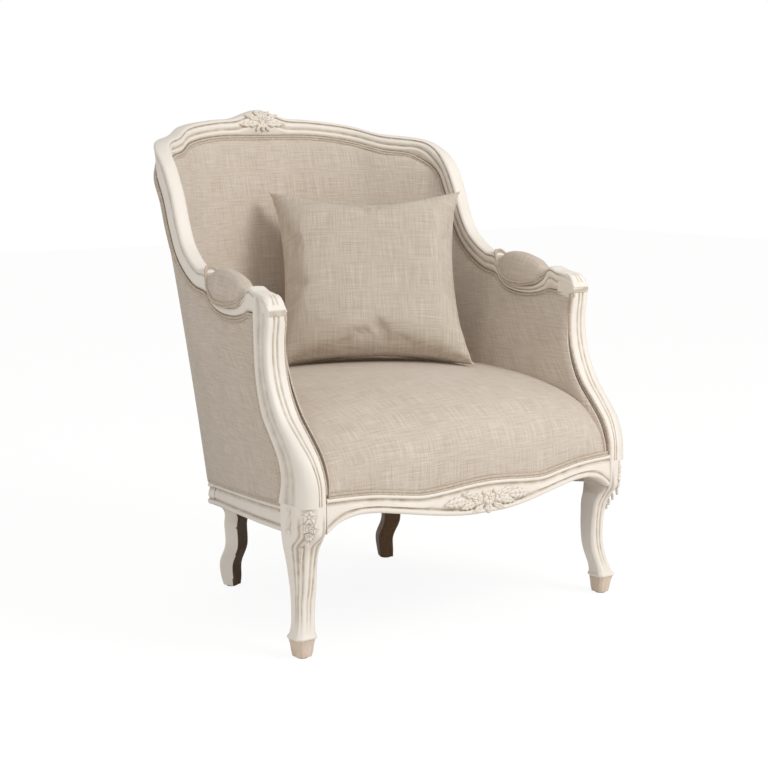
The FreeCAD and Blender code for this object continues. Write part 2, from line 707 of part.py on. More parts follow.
def seat_block(shrink):
    """Return the seat's solid, drawn in by shrink at its top and sides."""
    crown = size("seat_crown")
    wires = []
    base = seat_outline(0, SEAT_FRONT_FOOT, shrink)
    lift = 2 * size("webbing_thickness")
    levels = [[Vector(*point, seat_level(point[1]) + lift) for point in base]]
    for below, behind in SEAT_FRONT:
        outline = seat_outline(crown - below, behind, shrink)
        levels.append([Vector(*point, crown - below) for point in outline])
    brow = seat_outline(crown - SEAT_DOME[0][1], SEAT_FRONT_BROW, shrink)
    centre = sum(depth for _, depth in brow) / len(brow)
    for share, below in SEAT_DOME:
        height = crown - below - shrink
        levels.append([Vector(share * x, centre + share * (y - centre), height) for x, y in brow])
    for points in levels:
        wires.append(Part.makePolygon(points + points[:1]))
    return Part.makeLoft(wires, True, True)


def make_seat():
    """Make the crowned seat: fabric over foam, inside the pads and behind the front rail's lip."""
    cloth = size("cover_thickness")
    place_shape("seat_foam", seat_block(cloth))
    place_shape("seat_cover", seat_block(0).cut(seat_block(cloth)))


# Share of a side rail's width that the webbing leaves free, for the uprights.
WEBBING_START = 0.8


def make_webbing():
    """Make the crossed webbing bands that are tacked to the top of the seat frame."""
    thick, width = size("webbing_thickness"), size("webbing_width")
    cross = []
    for depth in (-200, -110, -20, 70, 150):
        near, far = depth - width / 2, depth + width / 2
        reach = [side_rail_outside(edge) - size("rail_width") * WEBBING_START for edge in (near, far)]
        corners = ((-reach[0], near), (reach[0], near), (reach[1], far), (-reach[1], far))
        cross.append(sloping_sheet(corners, 0, thick))
    place_shape("seat_webbing_cross", Part.makeCompound(cross))
    front = -size("front_rail_back") - 14
    lengthways = []
    for across in (-120, -40, 40, 120):
        reach = back_rail_outside(abs(across) + width / 2) - size("rail_width") / 2
        left, right = across - width / 2, across + width / 2
        corners = ((left, front), (right, front), (right, reach), (left, reach))
        lengthways.append(sloping_sheet(corners, thick, thick))
    place_shape("seat_webbing_long", Part.makeCompound(lengthways))


def make_corner_blocks():
    """Make the triangular blocks that brace the seat frame's inner corners."""
    slope = "(rear_block_outside - knee_outside + 5) / (knee_back + rear_block_front)"
    for name, side in SIDES:
        front = new_body(f"corner_block_front_{name}")
        corners = [
            (f"knee_inside * {side}", "-front_rail_back"),
            (f"(knee_inside - 70) * {side}", "-front_rail_back"),
            (f"knee_inside * {side}", "-knee_back"),
        ]
        add_pad(front, outline(front, "XY_Plane", "front_rail_top - 42", corners), "22")
        rear = new_body(f"corner_block_rear_{name}")
        inner = "(rear_block_outside - rail_width)"
        third = "(0.33 * (knee_back + rear_block_front))"
        bow = f"(3 - ({slope}) * {third}) / {third}"
        corners = [
            (f"{inner} * {side}", "rear_block_front"), (f"rear_block_inside * {side}", "rear_block_front"),
            (f"({inner} + 50 * ({bow})) * {side}", "rear_block_front - 50"),
        ]
        add_pad(rear, outline(rear, "XY_Plane", "rear_block_bottom + 8", corners), "28")


def rod(name, diameter, length, start, direction):
    """Make a round rod from a start point, held by formulas, along a direction."""
    part = document.addObject("Part::Cylinder", name)
    part.setExpression("Radius", bound(f"({diameter}) / 2"))
    part.setExpression("Height", bound(length))
    part.Placement = FreeCAD.Placement(Vector(), Rotation(Vector(0, 0, 1), Vector(*direction)))
    for axis, formula in zip("xyz", start):
        part.setExpression(f"Placement.Base.{axis}", bound(formula))
    return part


def group(label, parts):
    """Gather like solids into one sub-part."""
    gathered = document.addObject("Part::Compound", label)
    gathered.Label = label
    gathered.Links = parts
    return place(gathered)


def bore(fasteners, labels):
    """Cut the holes of a group of fasteners in the sub-parts that they pass through."""
    for index, part in enumerate(SUB_PARTS):
        if part.Label in labels:
            label = part.Label
            part.Label = f"{label}_blank"
            cut = document.addObject("Part::Cut", f"{label}_bored")
            cut.Base, cut.Tool = part, fasteners
            cut.Label = label
            SUB_PARTS[index] = cut


def make_fasteners():
    """Make the dowels of the seat frame and the screws of its corner blocks, with their holes."""
    dowels = []
    for name, side in SIDES:
        half = "dowel_length / 2"
        for up in (-32, -18):
            start = (f"knee_inside * {side} - {half}", "-front_rail_back - 14", f"front_rail_top + {up}")
            dowels.append(rod(f"dowel_{name}", "dowel_diameter", "dowel_length", start, (1, 0, 0)))
        for up in (-36, -12):
            across = f"(knee_outside - 5 - rail_width / 2) * {side}"
            start = (across, f"-knee_back - {half}", f"rail_top_front + {up}")
            dowels.append(rod(f"dowel_{name}", "dowel_diameter", "dowel_length", start, (0, 1, 0)))
        for up in (-30, -13):
            across = f"(rear_block_outside - rail_width / 2) * {side}"
            start = (across, f"rear_block_front - {half}", f"rail_top_rear + {up}")
            dowels.append(rod(f"dowel_{name}", "dowel_diameter", "dowel_length", start, (0, 1, 0)))
            start = (f"rear_block_inside * {side} - {half}", "rear_block_back - 7", f"rail_top_rear + {up}")
            dowels.append(rod(f"dowel_{name}", "dowel_diameter", "dowel_length", start, (1, 0, 0)))
    document.recompute()
    pins = group("frame_dowels", dowels)
    screws = []
    for name, side in SIDES:
        into_rail = (f"(knee_inside - 40) * {side}", "-front_rail_back + 22", "front_rail_top - 31")
        into_leg = (f"(knee_inside - 35) * {side}", "-knee_back - 27", "front_rail_top - 31")
        into_rear = (
            f"(rear_block_inside + 25) * {side}", "rear_block_front - 25", "rear_block_bottom + 22",
        )
        ways = ((into_rail, (0, -1, 0)), (into_leg, (side, 0, 0)), (into_rear, (0, 1, 0)))
        for start, direction in ways:
            screws.append(rod(f"screw_{name}", "screw_diameter", "screw_length", start, direction))
            screws.append(rod(f"screw_head_{name}", "screw_diameter * 1.8", "3", start, direction))
    document.recompute()
    shanks, heads = screws[0::2], screws[1::2]
    fused = []
    for shank, head in zip(shanks, heads):
        screw = document.addObject("Part::Fuse", "screw")
        screw.Base, screw.Tool = shank, head
        fused.append(screw)
    document.recompute()
    screws = group("corner_block_screws", fused)
    document.recompute()
    legs = [f"{kind}_leg_{name}" for kind in ("front", "rear") for name, _ in SIDES]
    blocks = [f"corner_block_{kind}_{name}" for kind in ("front", "rear") for name, _ in SIDES]
    rails = ["front_seat_rail", "back_seat_rail", "side_seat_rail_left", "side_seat_rail_right"]
    bore(pins, legs + rails)
    document.recompute()
    bore(screws, legs + blocks + ["front_seat_rail"])
    document.recompute()


def make_underside():
    """Make the dust cover under the seat and the felt glides under the feet."""
    fit, width = size("fit"), size("rail_width")
    front, rear = size("knee_back"), size("rear_block_front")
    inside = size("knee_inside") - fit
    corners = [(inside, -size("front_rail_back") + fit), (inside, -front)]
    for share, _ in SIDE_RAIL_BOW:
        depth = min(-front + share * (front + rear), rear - fit)
        corners.append((side_rail_outside(depth) - width - fit, depth))
    between = size("rear_leg_x") - size("rear_leg_width") / 2 - 2 * fit
    corners.append((between, rear - fit))
    corners.append((between, size("rear_block_back") - width - fit))
    corners += [(-across, depth) for across, depth in reversed(corners)]
    place_shape("dust_cover", sloping_sheet(corners, 1 - size("side_rail_height"), 1))
    glides = []
    for name, side in SIDES:
        for across, depth in (("front_foot_x", "-front_foot_y"), ("rear_leg_x", "rear_leg_y + 13")):
            glides.append(rod(f"glide_{name}", "glide_diameter", "glide_thickness", (
                f"{across} * {side}", depth, "0"), (0, 0, 1)))
    document.recompute()
    group("foot_glides", glides)


def make_arm_pads():
    """Make the oval arm pads, domed over the scoop of the arms."""
    length, height, width = size("arm_pad_length"), size("arm_pad_height"), size("arm_width") + 6
    arm, _, _, _ = rim_stations()
    low = arm[7]
    centre = Vector(low[0].x - size("arm_width") / 2 + 2, -50, low[0].z)
    for name, side in SIDES:
        wires = []
        for share in (-1, -0.8, -0.45, 0, 0.45, 0.8, 1):
            fall = math.sqrt(max(0.02, 1 - abs(share) ** 2.4))
            half, top = width / 2 * fall, height * fall
            at = centre + Vector(0, share * length / 2 * 0.98, 0)
            lift = 34 * abs(share) ** 3
            arch = ((-1, 0), (-0.92, 0.5), (-0.55, 0.9), (0.55, 0.9), (0.92, 0.5), (1, 0))
            points = [Vector(half * out, 0, lift + (top - lift) * up) for out, up in arch]
            points = [mirrored(at + point, side) for point in points]
            wires.append(Part.makePolygon(points + points[:1]))
        blank = Part.makeLoft(wires, True, True)
        around = (f"arm_rail_{name}", f"back_post_{name}", f"arm_stump_{name}")
        place_shape(f"arm_pad_{name}", trimmed(blank, datum_shapes(around)))


def cushion_half(span, depth, side):
    """Return one half of the scatter cushion: a crown over a square with drawn-in sides."""
    wires = []
    corner = span / 2
    for share, level in ((1, 0), (0.93, 0.3), (0.78, 0.62), (0.55, 0.86), (0.28, 1)):
        reach, dip = corner * share, 18 * (share - 0.2)
        level_z = side * depth / 2 * level
        corners = [Vector(-reach, -reach, level_z), Vector(reach, -reach, level_z),
                   Vector(reach, reach, level_z), Vector(-reach, reach, level_z)]
        edges = []
        for index in range(4):
            start, end = corners[index], corners[(index + 1) % 4]
            middle = (start + end) * 0.5
            inward = unit(Vector(-middle.x, -middle.y, 0)) * dip
            edges.append(Part.Arc(start, middle + inward, end).toShape())
        wires.append(Part.Wire(edges))
    return Part.makeLoft(wires, True, True)


# Steps in which the cushion is lowered on to the seat, each by the gap that is left.
LANDING_STEPS = 3


def make_cushion():
    """Make the loose scatter cushion: a fabric cover around its filling, leaning in the back."""
    span, depth, cloth = size("cushion_size"), size("cushion_depth"), size("cover_thickness")
    outer = cushion_half(span, depth, 1).fuse(cushion_half(span, depth, -1))
    within, filled = span - 6 * cloth, depth - 2 * cloth
    inner = cushion_half(within, filled, 1).fuse(cushion_half(within, filled, -1))
    upright = Rotation(Vector(1, 0, 0), 90)
    lean = Rotation(Vector(1, 0, 0), -size("cushion_lean"))
    turn = Rotation(Vector(0, 0, 1), -size("cushion_turn"))
    over = Vector(size("cushion_x"), size("cushion_y"), size("seat_crown") + span)
    where = FreeCAD.Placement(over, turn.multiply(lean).multiply(upright))
    seat = seat_block(0)
    for _ in range(LANDING_STEPS):
        gap = outer.transformed(where.Matrix, True).distToShape(seat)[0] - size("fit")
        where.move(Vector(0, 0, -gap))
    for label, shape in (("cushion_cover", outer.cut(inner)), ("cushion_filling", inner)):
        place_shape(label, shape.transformed(where.Matrix, True))


def build():
    """Make every sub-part."""
    for name, side in SIDES:
        make_front_leg(name, side)
        make_rear_leg(name, side)
        make_side_rail(name, side)
        make_arm_stump(name, side)
    make_front_rail()
    make_back_rail()
    make_rim()
    document.recompute()
    make_uprights()
    make_shell()
    make_seat()
    make_webbing()
    make_corner_blocks()
    make_arm_pads()
    document.recompute()
    make_fasteners()
    make_underside()
    make_cushion()


build()
document.recompute()
for item in document.Objects:
    if "Invalid" in item.State or "Error" in item.State:
        raise RuntimeError(f"{item.Label} failed: {item.State}")
os.makedirs("parts", exist_ok=True)
for part in SUB_PARTS:
    if part.Shape.isNull() or not part.Shape.isValid():
        raise RuntimeError(f"{part.Label} has no valid shape")
    part.Shape.exportStep(f"parts/{part.Label}.step")
    box = part.Shape.BoundBox
    print(f"{part.Label}: {len(part.Shape.Solids)} solids, {part.Shape.Volume / 1000:.1f} cm3,",
          f"x {box.XMin:.1f} {box.XMax:.1f} y {box.YMin:.1f} {box.YMax:.1f} z {box.ZMin:.1f} {box.ZMax:.1f}")
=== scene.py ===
"""Dress a packed bergere armchair: carved painted frame, slub linen upholstery and a loose cushion."""
import logging
import math
from dataclasses import dataclass, field
from enum import Enum
from typing import Sequence

import bmesh
import bpy
import numpy as np
from bpy.types import Material, Mesh, Node, NodeSocket, NodeTree, Object, bpy_struct
from mathutils import Matrix, Vector


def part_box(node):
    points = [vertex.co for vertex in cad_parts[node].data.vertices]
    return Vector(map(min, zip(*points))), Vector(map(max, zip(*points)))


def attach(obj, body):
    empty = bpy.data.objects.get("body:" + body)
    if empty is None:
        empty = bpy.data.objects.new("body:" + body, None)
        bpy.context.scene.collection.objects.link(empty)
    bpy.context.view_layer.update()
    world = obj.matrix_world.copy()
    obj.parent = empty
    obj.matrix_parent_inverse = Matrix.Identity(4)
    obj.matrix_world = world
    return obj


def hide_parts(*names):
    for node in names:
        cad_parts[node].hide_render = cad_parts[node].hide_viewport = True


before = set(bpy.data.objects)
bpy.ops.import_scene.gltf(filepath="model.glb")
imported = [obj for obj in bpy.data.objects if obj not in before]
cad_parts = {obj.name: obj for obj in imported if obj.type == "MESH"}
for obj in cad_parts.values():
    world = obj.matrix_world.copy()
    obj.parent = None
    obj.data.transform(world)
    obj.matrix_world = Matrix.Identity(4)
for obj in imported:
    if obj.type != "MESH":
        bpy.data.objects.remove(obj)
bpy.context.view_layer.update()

logging.basicConfig(level=logging.INFO, format="%(message)s")
LOG = logging.getLogger("bergere")

MM = 0.001
# The chair's tables are in millimetres, with depths from a datum this far behind the frame's origin.
DATUM = 37.0
# Heights of the seat frame's sloping top at the front leg and the rear leg, and the depths of both.
RAIL_TOP = (272.0, 226.0)
RAIL_DEPTHS = (-243.0, 185.0)
# The back rail's outside: half its width, its depth at the middle and how far it bows out.
BACK_ARC = (200.0, 300.0, 60.0)


class Side(Enum):
    """A side of the chair as seen from the front."""

    LEFT = -1
    RIGHT = 1

    @property
    def word(self) -> str:
        """Return the side as the end of a name."""
        return self.name.lower()


def placed(points: np.ndarray) -> np.ndarray:
    """Turn the chair's own millimetres into metres in the frame.

    Args:
        points: Points in millimetres from the datum.

    Returns:
        The same points in metres.
    """
    moved = np.array(points, float)
    moved[..., 1] -= DATUM
    return moved * MM


def unit(vectors: np.ndarray) -> np.ndarray:
    """Return vectors with a length of one."""
    return vectors / np.maximum(np.linalg.norm(vectors, axis=-1, keepdims=True), 1e-9)


def chord(points: np.ndarray) -> np.ndarray:
    """Return the distance along a run of points at each of them."""
    steps = np.linalg.norm(np.diff(points, axis=0), axis=-1)
    return np.concatenate([[0.0], np.cumsum(steps)])


def hermite(knots: np.ndarray, values: np.ndarray, at: np.ndarray) -> np.ndarray:
    """Read a smooth curve through values.

    Args:
        knots: Where along the curve each value stands.
        values: One row of numbers for each knot.
        at: Where the curve is read.

    Returns:
        One row of numbers for each place in at.
    """
    values = np.asarray(values, float)
    slopes = np.gradient(values, knots, axis=0)
    index = np.clip(np.searchsorted(knots, at, side="right") - 1, 0, len(knots) - 2)
    span = (knots[index + 1] - knots[index])[:, None]
    share = (np.asarray(at)[:, None] - knots[index][:, None]) / span
    square, cube = share ** 2, share ** 3
    start = (2 * cube - 3 * square + 1) * values[index] + (cube - 2 * square + share) * span * slopes[index]
    end = (3 * square - 2 * cube) * values[index + 1] + (cube - square) * span * slopes[index + 1]
    return start + end


def resampled(points: np.ndarray, count: int) -> np.ndarray:
    """Return count points spread evenly along a run of points."""
    along = chord(points)
    at = np.linspace(0, along[-1], count)
    return np.stack([np.interp(at, along, points[:, axis]) for axis in range(points.shape[1])], 1)


def grid_lengths(grid: np.ndarray) -> tuple[np.ndarray, np.ndarray]:
    """Return each point's distance along its row and along its column of a grid."""
    lengths = []
    for axis in (1, 0):
        steps = np.linalg.norm(np.diff(grid, axis=axis), axis=2)
        start = np.zeros_like(np.take(steps, [0], axis=axis))
        lengths.append(np.cumsum(np.concatenate([start, steps], axis), axis))
    return lengths[0], lengths[1]


def back_arc(across: np.ndarray) -> np.ndarray:
    """Return the depth of the back rail's curved outside at distances from the middle."""
    half, reach, rise = BACK_ARC
    radius = (half ** 2 + rise ** 2) / (2 * rise)
    return reach - radius + np.sqrt(radius ** 2 - across ** 2)


def seat_level(depth: np.ndarray) -> np.ndarray:
    """Return the height of the seat frame's sloping top at a depth."""
    slope = (RAIL_TOP[1] - RAIL_TOP[0]) / (RAIL_DEPTHS[1] - RAIL_DEPTHS[0])
    return RAIL_TOP[0] + (depth - RAIL_DEPTHS[0]) * slope


def linked(name: str, data: bpy_struct) -> Object:
    """Make an object of some data and link it to the scene."""
    made = bpy.data.objects.new(name, data)
    bpy.context.scene.collection.objects.link(made)
    return made


def evaluated(piece: Object) -> Mesh:
    """Return a piece's mesh with its modifiers' results in it."""
    return bpy.data.meshes.new_from_object(piece.evaluated_get(bpy.context.evaluated_depsgraph_get()))


def settled(piece: Object) -> Mesh:
    """Give a piece the result of its modifiers, take them off and return its mesh."""
    mesh = evaluated(piece)
    piece.modifiers.clear()
    piece.data = mesh
    return mesh


def corner_points(mesh: Mesh) -> np.ndarray:
    """Return the place of every face corner of a mesh."""
    points = np.array([vertex.co for vertex in mesh.vertices])
    return points[np.array([loop.vertex_index for loop in mesh.loops])]


def lay_threads(mesh: Mesh, places: np.ndarray) -> None:
    """Write the thread map of a mesh: a place in metres for every face corner."""
    layer = mesh.uv_layers.get("threads") or mesh.uv_layers.new(name="threads")
    layer.data.foreach_set("uv", places.reshape(-1))


@dataclass
class Form:
    """A mesh in the making: points in metres, faces, a thread map and each point's depth in a hollow, which
    sets its painted shade.
    """

    points: list = field(default_factory=list)
    faces: list = field(default_factory=list)
    threads: list = field(default_factory=list)
    hollow: list = field(default_factory=list)

    def add(self, points: np.ndarray, faces: Sequence, threads: Sequence, hollow: Sequence) -> None:
        """Add points and faces.

        Args:
            points: Points in metres.
            faces: Faces as indices into points.
            threads: For each face its corners' places on the thread map in metres.
            hollow: For each point how deep it lies in a hollow, from 0 to 1.
        """
        base = len(self.points)
        self.points.extend(tuple(point) for point in points)
        self.faces.extend(tuple(base + index for index in face) for face in faces)
        self.threads.extend(threads)
        self.hollow.extend(hollow)

    def add_rings(self, rings: np.ndarray, hollow: np.ndarray | None = None, caps: bool = True) -> None:
        """Add a closed skin through rings of points.

        Args:
            rings: An array of rings of points in metres.
            hollow: How deep each ring's points lie, one row for all rings or one for each.
            caps: Whether the first and last rings are closed with a face.
        """
        count, size, _ = rings.shape
        middle = rings[count // 2]
        around = chord(np.concatenate([middle, middle[:1]]))
        along = chord(rings.mean(axis=1))
        faces, threads = [], []
        for row in range(count - 1):
            for column in range(size):
                after = (column + 1) % size
                near, far = row * size, (row + 1) * size
                faces.append((near + column, near + after, far + after, far + column))
                low, high = along[row], along[row + 1]
                left, right = around[column], around[column + 1]
                threads.append(((left, low), (right, low), (right, high), (left, high)))
        if caps:
            for row, order in ((0, range(size)), (count - 1, range(size - 1, -1, -1))):
                faces.append(tuple(row * size + column for column in order))
                threads.append(tuple((around[column], along[row]) for column in order))
        shade = np.zeros((count, size)) if hollow is None else np.broadcast_to(hollow, (count, size))
        self.add(rings.reshape(-1, 3), faces, threads, shade.reshape(-1))

    def add_slab(self, front: np.ndarray, back: np.ndarray, hollow: np.ndarray | None = None,
                 upright: bool = False) -> None:
        """Add a closed slab between two grids of points that share their borders' order.

        Args:
            front: The shown face's grid of points in metres.
            back: The hidden face's grid.
            hollow: How deep the front's points lie.
            upright: Whether the cloth's threads stand upright, and not as the grid runs.
        """
        rows, columns, _ = front.shape
        across, down = grid_lengths(front)
        ends = np.abs(front[rows // 2, (0, -1), 1])
        still = -1 if front[0, -1, 1] > front[0, 0, 1] else 0
        if abs(ends[0] - ends[1]) < 0.01:
            still = columns // 2
        across = across - across[:, still][:, None]
        if upright:
            down = -front[:, :, 2]
        index = np.arange(rows * columns).reshape(rows, columns)
        faces, threads = [], []
        for row in range(rows - 1):
            for column in range(columns - 1):
                square = ((row, column), (row, column + 1), (row + 1, column + 1), (row + 1, column))
                places = tuple((across[at], down[at]) for at in square)
                faces.append(tuple(index[at] for at in square))
                threads.append(places)
                faces.append(tuple(index[at] + rows * columns for at in reversed(square)))
                threads.append(tuple(reversed(places)))
        border = [(0, column) for column in range(columns)] + [(row, columns - 1) for row in range(1, rows)]
        border += [(rows - 1, column) for column in range(columns - 2, -1, -1)]
        border += [(row, 0) for row in range(rows - 2, 0, -1)]
        for start, end in zip(border, border[1:] + border[:1]):
            near, far = index[start], index[end]
            faces.append((far, near, near + rows * columns, far + rows * columns))
            threads.append(tuple((across[at], down[at]) for at in (end, start, start, end)))
        shade = np.zeros((rows, columns)) if hollow is None else hollow
        both = np.concatenate([front.reshape(-1, 3), back.reshape(-1, 3)])
        self.add(both, faces, threads, np.concatenate([shade.reshape(-1), np.ones(rows * columns)]))

    def made(self, name: str, sharp: float = 55) -> Object:
        """Make the object.

        Args:
            name: The object's name.
            sharp: Edges that turn by more degrees than this stay sharp.

        Returns:
            The object, with its thread map and its hollow attribute, which sets the painted shade of painted
            wood.
        """
        mesh = bpy.data.meshes.new(name)
        mesh.from_pydata(self.points, [], self.faces)
        layer = mesh.uv_layers.new(name="threads")
        layer.data.foreach_set("uv", [value for face in self.threads for place in face for value in place])
        depth = mesh.attributes.new("hollow", "FLOAT", "POINT")
        depth.data.foreach_set("value", [float(value) for value in self.hollow])
        work = bmesh.new()
        work.from_mesh(mesh)
        bmesh.ops.remove_doubles(work, verts=work.verts, dist=1e-6)
        bmesh.ops.recalc_face_normals(work, faces=work.faces)
        work.to_mesh(mesh)
        work.free()
        mesh.shade_smooth()
        mesh.set_sharp_from_angle(angle=math.radians(sharp))
        return linked(name, mesh)


# Finishes.


def linear(colour: str) -> tuple[float, float, float, float]:
    """Turn an sRGB hex colour to the linear values that a shader takes."""
    values = [int(colour[start:start + 2], 16) / 255 for start in (1, 3, 5)]
    turned = [value / 12.92 if value <= 0.04045 else ((value + 0.055) / 1.055) ** 2.4 for value in values]
    return (*turned, 1.0)


def add_node(tree: NodeTree, kind: str, inputs: dict | None = None, **settings: object) -> Node:
    """Add a node with its settings and links.

    Args:
        tree: The node tree.
        kind: The node's type.
        inputs: For each input, by name or number, a value or the socket that feeds it.
        settings: The node's own properties.

    Returns:
        The node.
    """
    node = tree.nodes.new(kind)
    for name, value in settings.items():
        setattr(node, name, value)
    for name, value in (inputs or {}).items():
        if isinstance(value, NodeSocket):
            tree.links.new(value, node.inputs[name])
        else:
            node.inputs[name].default_value = value
    return node


def new_material(name: str) -> tuple[Material, NodeTree]:
    """Start a node material and return it with its empty tree."""
    material = bpy.data.materials.new(name)
    material.use_nodes = True
    material.node_tree.nodes.clear()
    return material, material.node_tree


def finished(material: Material, shader: Node) -> Material:
    """Give a material its output and return it."""
    add_node(material.node_tree, "ShaderNodeOutputMaterial", {0: shader.outputs[0]})
    return material


@dataclass(frozen=True)
class PaintedBeech:
    """Beech brushed with cream chalk paint and rubbed back.

    The eye sees a warm, matt off-white with faint brush drags, and painted shade greys the hollows."""

    name: str = "painted_beech"
    light: str = "#F3ECE3"
    warm: str = "#EBE1D3"
    # The colour of the painted shade in the grooves and carvings.
    hollow: str = "#AC9B84"
    patch_mm: float = 60.0
    drag_mm: float = 3.0

    def made(self) -> Material:
        """Build the material."""
        material, tree = new_material(self.name)
        place = add_node(tree, "ShaderNodeTexCoord").outputs["Object"]
        patches = add_node(tree, "ShaderNodeTexNoise", {
            "Vector": place, "Scale": 1 / (self.patch_mm * MM), "Detail": 4.0})
        tone = add_node(tree, "ShaderNodeMix", {
            "Factor": patches.outputs["Fac"], 6: linear(self.light),
            7: linear(self.warm)}, data_type="RGBA")
        # Painted shade: the hollow attribute, broken into patches by noise, darkens the paint towards the
        # hollow colour.
        depth = add_node(tree, "ShaderNodeAttribute", attribute_name="hollow").outputs["Fac"]
        blotch = add_node(tree, "ShaderNodeTexNoise", {
            "Vector": place, "Scale": 1 / (18 * MM), "Detail": 3.0})
        settled = add_node(tree, "ShaderNodeMath", {
            0: depth, 1: blotch.outputs["Fac"]}, operation="MULTIPLY")
        painted_hollow_shade = add_node(tree, "ShaderNodeMath", {0: settled.outputs[0], 1: 1.25}, operation="MULTIPLY",
                        use_clamp=True)
        colour = add_node(tree, "ShaderNodeMix", {
            "Factor": painted_hollow_shade.outputs[0], 6: tone.outputs[2], 7: linear(self.hollow)}, data_type="RGBA")
        stretch = add_node(tree, "ShaderNodeMapping", {"Vector": place, "Scale": (1.0, 1.0, 0.12)})
        drags = add_node(tree, "ShaderNodeTexNoise", {
            "Vector": stretch.outputs[0], "Scale": 1 / (self.drag_mm * MM), "Detail": 3.0})
        bump = add_node(tree, "ShaderNodeBump", {
            "Height": drags.outputs["Fac"], "Strength": 0.25, "Distance": 0.0006})
        rough = add_node(tree, "ShaderNodeMapRange", {
            "Value": drags.outputs["Fac"], "To Min": 0.42, "To Max": 0.62})
        shader = add_node(tree, "ShaderNodeBsdfPrincipled", {
            "Base Color": colour.outputs[2], "Roughness": rough.outputs[0], "Normal": bump.outputs[0],
            "IOR": 1.48})
        return finished(material, shader)


@dataclass(frozen=True)
class Timber:
    """Sawn and turned hardwood: straight grain lines along the piece, a slow change of tone across it."""

    name: str
    pale: str
    dark: str
    grain_mm: float
    roughness: float
    stretch: tuple[float, float, float] = (1.0, 1.0, 0.08)

    def made(self) -> Material:
        """Build the material."""
        material, tree = new_material(self.name)
        place = add_node(tree, "ShaderNodeTexCoord").outputs["Object"]
        drawn = add_node(tree, "ShaderNodeMapping", {"Vector": place, "Scale": self.stretch})
        grain = add_node(tree, "ShaderNodeTexNoise", {
            "Vector": drawn.outputs[0], "Scale": 1 / (self.grain_mm * MM), "Detail": 5.0,
            "Distortion": 0.4})
        tone = add_node(tree, "ShaderNodeTexNoise", {
            "Vector": drawn.outputs[0], "Scale": 22.0, "Detail": 2.0})
        mixed = add_node(tree, "ShaderNodeMath", {
            0: grain.outputs["Fac"], 1: tone.outputs["Fac"]}, operation="ADD")
        share = add_node(tree, "ShaderNodeMapRange", {
            "Value": mixed.outputs[0], "From Min": 0.7, "From Max": 1.3})
        colour = add_node(tree, "ShaderNodeMix", {
            "Factor": share.outputs[0], 6: linear(self.pale), 7: linear(self.dark)}, data_type="RGBA")
        bump = add_node(tree, "ShaderNodeBump", {
            "Height": grain.outputs["Fac"], "Strength": 0.3, "Distance": 0.0004})
        shader = add_node(tree, "ShaderNodeBsdfPrincipled", {
            "Base Color": colour.outputs[2], "Roughness": self.roughness, "Normal": bump.outputs[0],
            "IOR": 1.5})
        return finished(material, shader)


